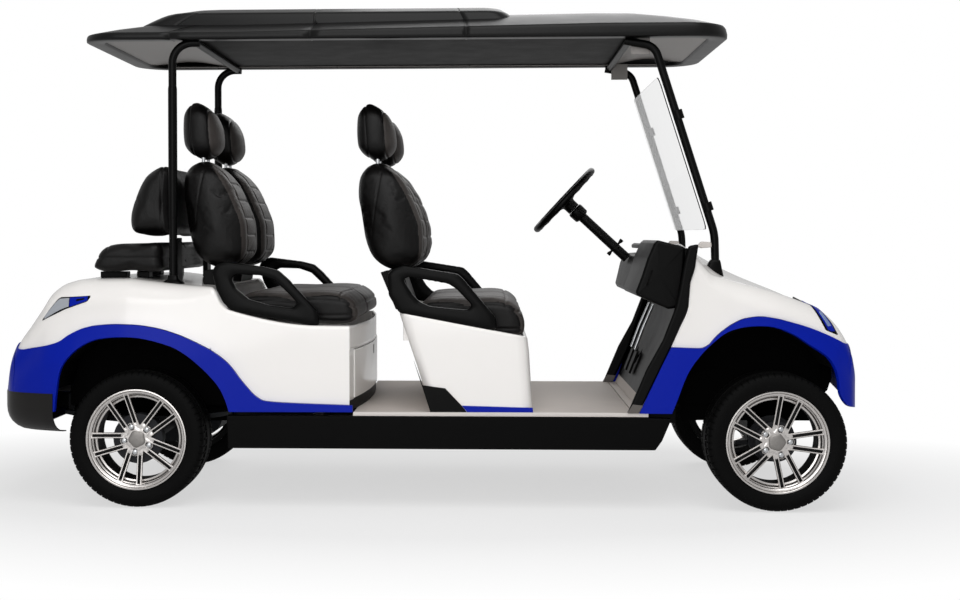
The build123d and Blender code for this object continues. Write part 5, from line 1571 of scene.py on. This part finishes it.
piece("rear_bumper_cap", [skin], finish("polypropylene_dark_grey", "#12100F", 0.42, grain_mm=1.4, bump_mm=0.05,
                                        Specular_IOR_Level=0.25), away=(-1300, 0, 420), thick=4, round_mm=1.5,
      replaces=("rear_bumper",))
rounded("seat_supports", powder_coat, 3.0)
liner_black = finish("liner_polypropylene_black", "#030303", 0.8, grain_mm=1.6, bump_mm=0.1, Specular_IOR_Level=0.05)
for slot in frame["nodes"]["wheel_liners"].material_slots:
    slot.material = liner_black
skirts = [slab([(-1402, 300), (-760, 300), (-760, 372), (-1402, 372)], 338, 341),
          slab([(1010, 300), (1560, 300), (1560, 372), (1010, 372)], 262, 265),
          slab([(1500, 560), (1500, 380), (1560, 392), (1590, 420), (1606, 470), (1606, 560)], 250, 256)]
piece("wheel_skirts", skirts, liner_black, both=True)
bracket = [slab([(1044, 990), (1060, 1010), (1099, 1008), (1101, 988), (1062, 984)], 458, 482)]
piece("post_brackets_grey", bracket, strip_grey, round_mm=4, both=True)

# %% [markdown]
# ### Lamps
# Each lamp lies in the body's own surface: its points are found on the same family of sections as the panels,
# so it follows the shoulder, and it stands out by a few millimetres.

# %% Lamps
PATCH = 12
lens_silver = finish("polycarbonate_lens_silvered", "#B9BEC6", 0.12, metal=0.6, coat=0.6)
lens_blue = finish("polycarbonate_lens_blue_grey", "#7F97C8", 0.1, metal=0.5, coat=0.6)

TAIL_LOW = ([-1463, -1367, -1280, -1267], [708, 753, 783, 800])
TAIL_HIGH = ([-1463, -1440, -1401, -1388, -1267], [710, 742, 790, 798, 805])
HEAD_BACK = ([658, 678, 730, 790], [1560, 1512, 1487, 1458])
HEAD_FRONT = ([658, 703, 765, 776, 790], [1562, 1541, 1495, 1479, 1460])


def between(along, low, high, share):
    """Two grids: stations along a lamp, and for each the places between its low and high edge."""
    a, b = np.interp(along, *low)[:, None], np.interp(along, *high)[:, None]
    across = a + (b - a) * np.linspace(*share, PATCH)[None]
    return np.broadcast_to(along[:, None], across.shape), across


def lamp_part(name, grid, look, x_inside, thick, soft, replaces=()):
    """Sheet of a lamp on both sides of the cart, made thick towards the inside of the body."""
    piece(name, [grid], look, away=(x_inside, 0, 400), thick=thick, round_mm=soft, both=True, replaces=replaces)


for name, look, stations, share, proud, thick, soft in (
        ("housings", smooth_plastic, (-1462, -1268, 40), (0, 1), 1.5, 8, 1),
        ("lenses", lens_silver, (-1452, -1352, 26), (0.12, 0.88), 4.5, 4, 1.5),
        ("caps_blue", blue_paint, (-1349, -1278, 18), (0.08, 0.9), 4.5, 4, 1.5),
        ("slots", smooth_plastic, (-1322, -1290, 8), (0.42, 0.66), 5.4, 2, 0)):
    x, z = between(np.linspace(*stations), TAIL_LOW, TAIL_HIGH, share)
    lamp_part(f"tail_lamp_{name}", rear_at(x, rear_level(x, z), proud), look, -1300, thick, soft,
              ("tail_lamps",) if name == "housings" else ())
for name, look, stations, share, proud, thick, soft in (
        ("housings", smooth_plastic, (660, 788, 40), (0, 1), 1.5, 8, 1),
        ("caps_blue", blue_paint, (672, 774, 30), (0.22, 0.84), 4.0, 3, 1.2),
        ("lenses", lens_blue, (690, 742, 16), (0.36, 0.7), 6.0, 2, 0.8)):
    z, x = between(np.linspace(*stations), HEAD_BACK, HEAD_FRONT, share)
    lamp_part(f"headlamp_{name}", front_at(x, front_level(x, z), proud), look, 1300, thick, soft,
              ("headlamps",) if name == "housings" else ())

# %% [markdown]
# ## Camera, floor and light
# The camera stands six metres off the right side, at the height of a seated driver's chest, with a lens a
# little longer than normal. A pale floor and three large soft lamps show the cart as in a photo studio.

# %% Camera
CAMERA_AT = (0.2568, -6.02, 1.0324)
FOCAL_MM, SENSOR_MM, SHIFT = 54.1, 36.0, (0.0545, -0.0384)
view_turn, view_tilt, view_roll = 0.0433, 0.0189, -0.001
aim = Vector((-math.sin(view_turn) * math.cos(view_tilt), math.cos(view_turn) * math.cos(view_tilt),
              -math.sin(view_tilt)))
lens = bpy.data.cameras.new("camera")
lens.lens, lens.sensor_width = FOCAL_MM, SENSOR_MM
lens.shift_x, lens.shift_y = SHIFT
camera = bpy.data.objects.new("camera", lens)
camera.location = CAMERA_AT
facing = aim.to_track_quat("-Z", "Y").to_matrix().to_4x4()
camera.rotation_euler = (facing @ Matrix.Rotation(view_roll, 4, "Z")).to_euler()
bpy.context.scene.collection.objects.link(camera)
bpy.context.scene.camera = camera

# %% [markdown]
# The floor carries the cart's soft shadow and turns to pure white a little way off, so that it has no edge.
# Floor and world are white to the camera and dimmer to mirrors: shiny black would look grey if it mirrored a
# full white room.

# %% Pale floor that fades into the background
MIRRORED_WHITE = 0.3


def white_share(tree):
    """1 for rays from the camera or through the windshield, less for mirrored ones, 0 for all others."""
    ray = add(tree, "ShaderNodeLightPath").outputs
    clear = add(tree, "ShaderNodeMath", {0: ray["Is Camera Ray"], 1: ray["Is Transmission Ray"]},
                operation="MAXIMUM")
    gloss = add(tree, "ShaderNodeMath", {0: ray["Is Glossy Ray"], 1: MIRRORED_WHITE}, operation="MULTIPLY")
    return add(tree, "ShaderNodeMath", {0: clear.outputs[0], 1: gloss.outputs[0]}, operation="MAXIMUM").outputs[0]


def studio_floor():
    """Flat sheet, 60 m across. Seen straight it is white where lit and darker only where the cart shades it.

    Its look is a mix: the camera sees white paper times the light that reaches it, brought up to white.
    """
    size = 30.0
    mesh = bpy.data.meshes.new("studio_floor")
    mesh.from_pydata([(-size, -size, 0), (size, -size, 0), (size, size, 0), (-size, size, 0)], [], [(0, 1, 2, 3)])
    made = bpy.data.objects.new("studio_floor", mesh)
    bpy.context.scene.collection.objects.link(made)
    material, tree, place = blank("studio_floor_paper")
    paper = add(tree, "ShaderNodeBsdfPrincipled", {"Base Color": linear("#E6E6E6"), "Roughness": 0.9,
                                                   "Specular IOR Level": 0.0})
    near = add(tree, "ShaderNodeVectorMath", {0: place, 1: (1.0, 1.7, 0.0)}, operation="MULTIPLY")
    far = add(tree, "ShaderNodeVectorMath", {0: near.outputs[0]}, operation="LENGTH")
    fade = add(tree, "ShaderNodeMapRange", {"Value": far.outputs["Value"], "From Min": 1.9, "From Max": 3.3,
                                            "To Min": 0.62, "To Max": 1.0})
    white = add(tree, "ShaderNodeEmission", {"Color": linear("#FFFFFF"), "Strength": 1.0})
    share = add(tree, "ShaderNodeMath", {0: white_share(tree), 1: fade.outputs["Result"]}, operation="MULTIPLY")
    mixed = add(tree, "ShaderNodeMixShader", {0: share.outputs[0], 1: paper.outputs["BSDF"], 2: white.outputs[0]})
    add(tree, "ShaderNodeOutputMaterial", {"Surface": mixed.outputs[0]})
    mesh.materials.append(material)
    return made


studio_floor()

# %% [markdown]
# The world lights the cart dimly from all sides. Three square lamps do the rest: above, beside and behind.

# %% World and lamps
world = bpy.data.worlds.new("studio")
bpy.context.scene.world = world
world.use_nodes = True
tree = world.node_tree
tree.nodes.clear()
soft = add(tree, "ShaderNodeBackground", {"Color": linear("#FFFFFF"), "Strength": 0.34})
plain = add(tree, "ShaderNodeBackground", {"Color": linear("#FFFFFF"), "Strength": 1.0})
both = add(tree, "ShaderNodeMixShader", {0: white_share(tree), 1: soft.outputs[0], 2: plain.outputs[0]})
add(tree, "ShaderNodeOutputWorld", {"Surface": both.outputs[0]})


def lamp(name, place, at, size, power):
    """Square area lamp, aimed from place at a point."""
    light = bpy.data.lights.new(name, "AREA")
    light.shape, light.size, light.energy = "SQUARE", size, power
    made = bpy.data.objects.new(name, light)
    made.location = place
    made.rotation_euler = (Vector(at) - Vector(place)).to_track_quat("-Z", "Y").to_euler()
    bpy.context.scene.collection.objects.link(made)
    return made


lamp("key_over_the_roof", (0.5, -3.0, 5.0), (0, 0, 0.6), 4.0, 120)
lamp("fill_from_the_side", (-1.0, -6.5, 2.2), (0, 0, 0.7), 4.0, 110)
lamp("rim_from_behind", (1.0, 4.5, 4.0), (0, 0, 0.8), 3.5, 60)

# %% [markdown]
# The colours go to the picture unchanged.

# %% View
bpy.context.scene.view_settings.view_transform = "Standard"
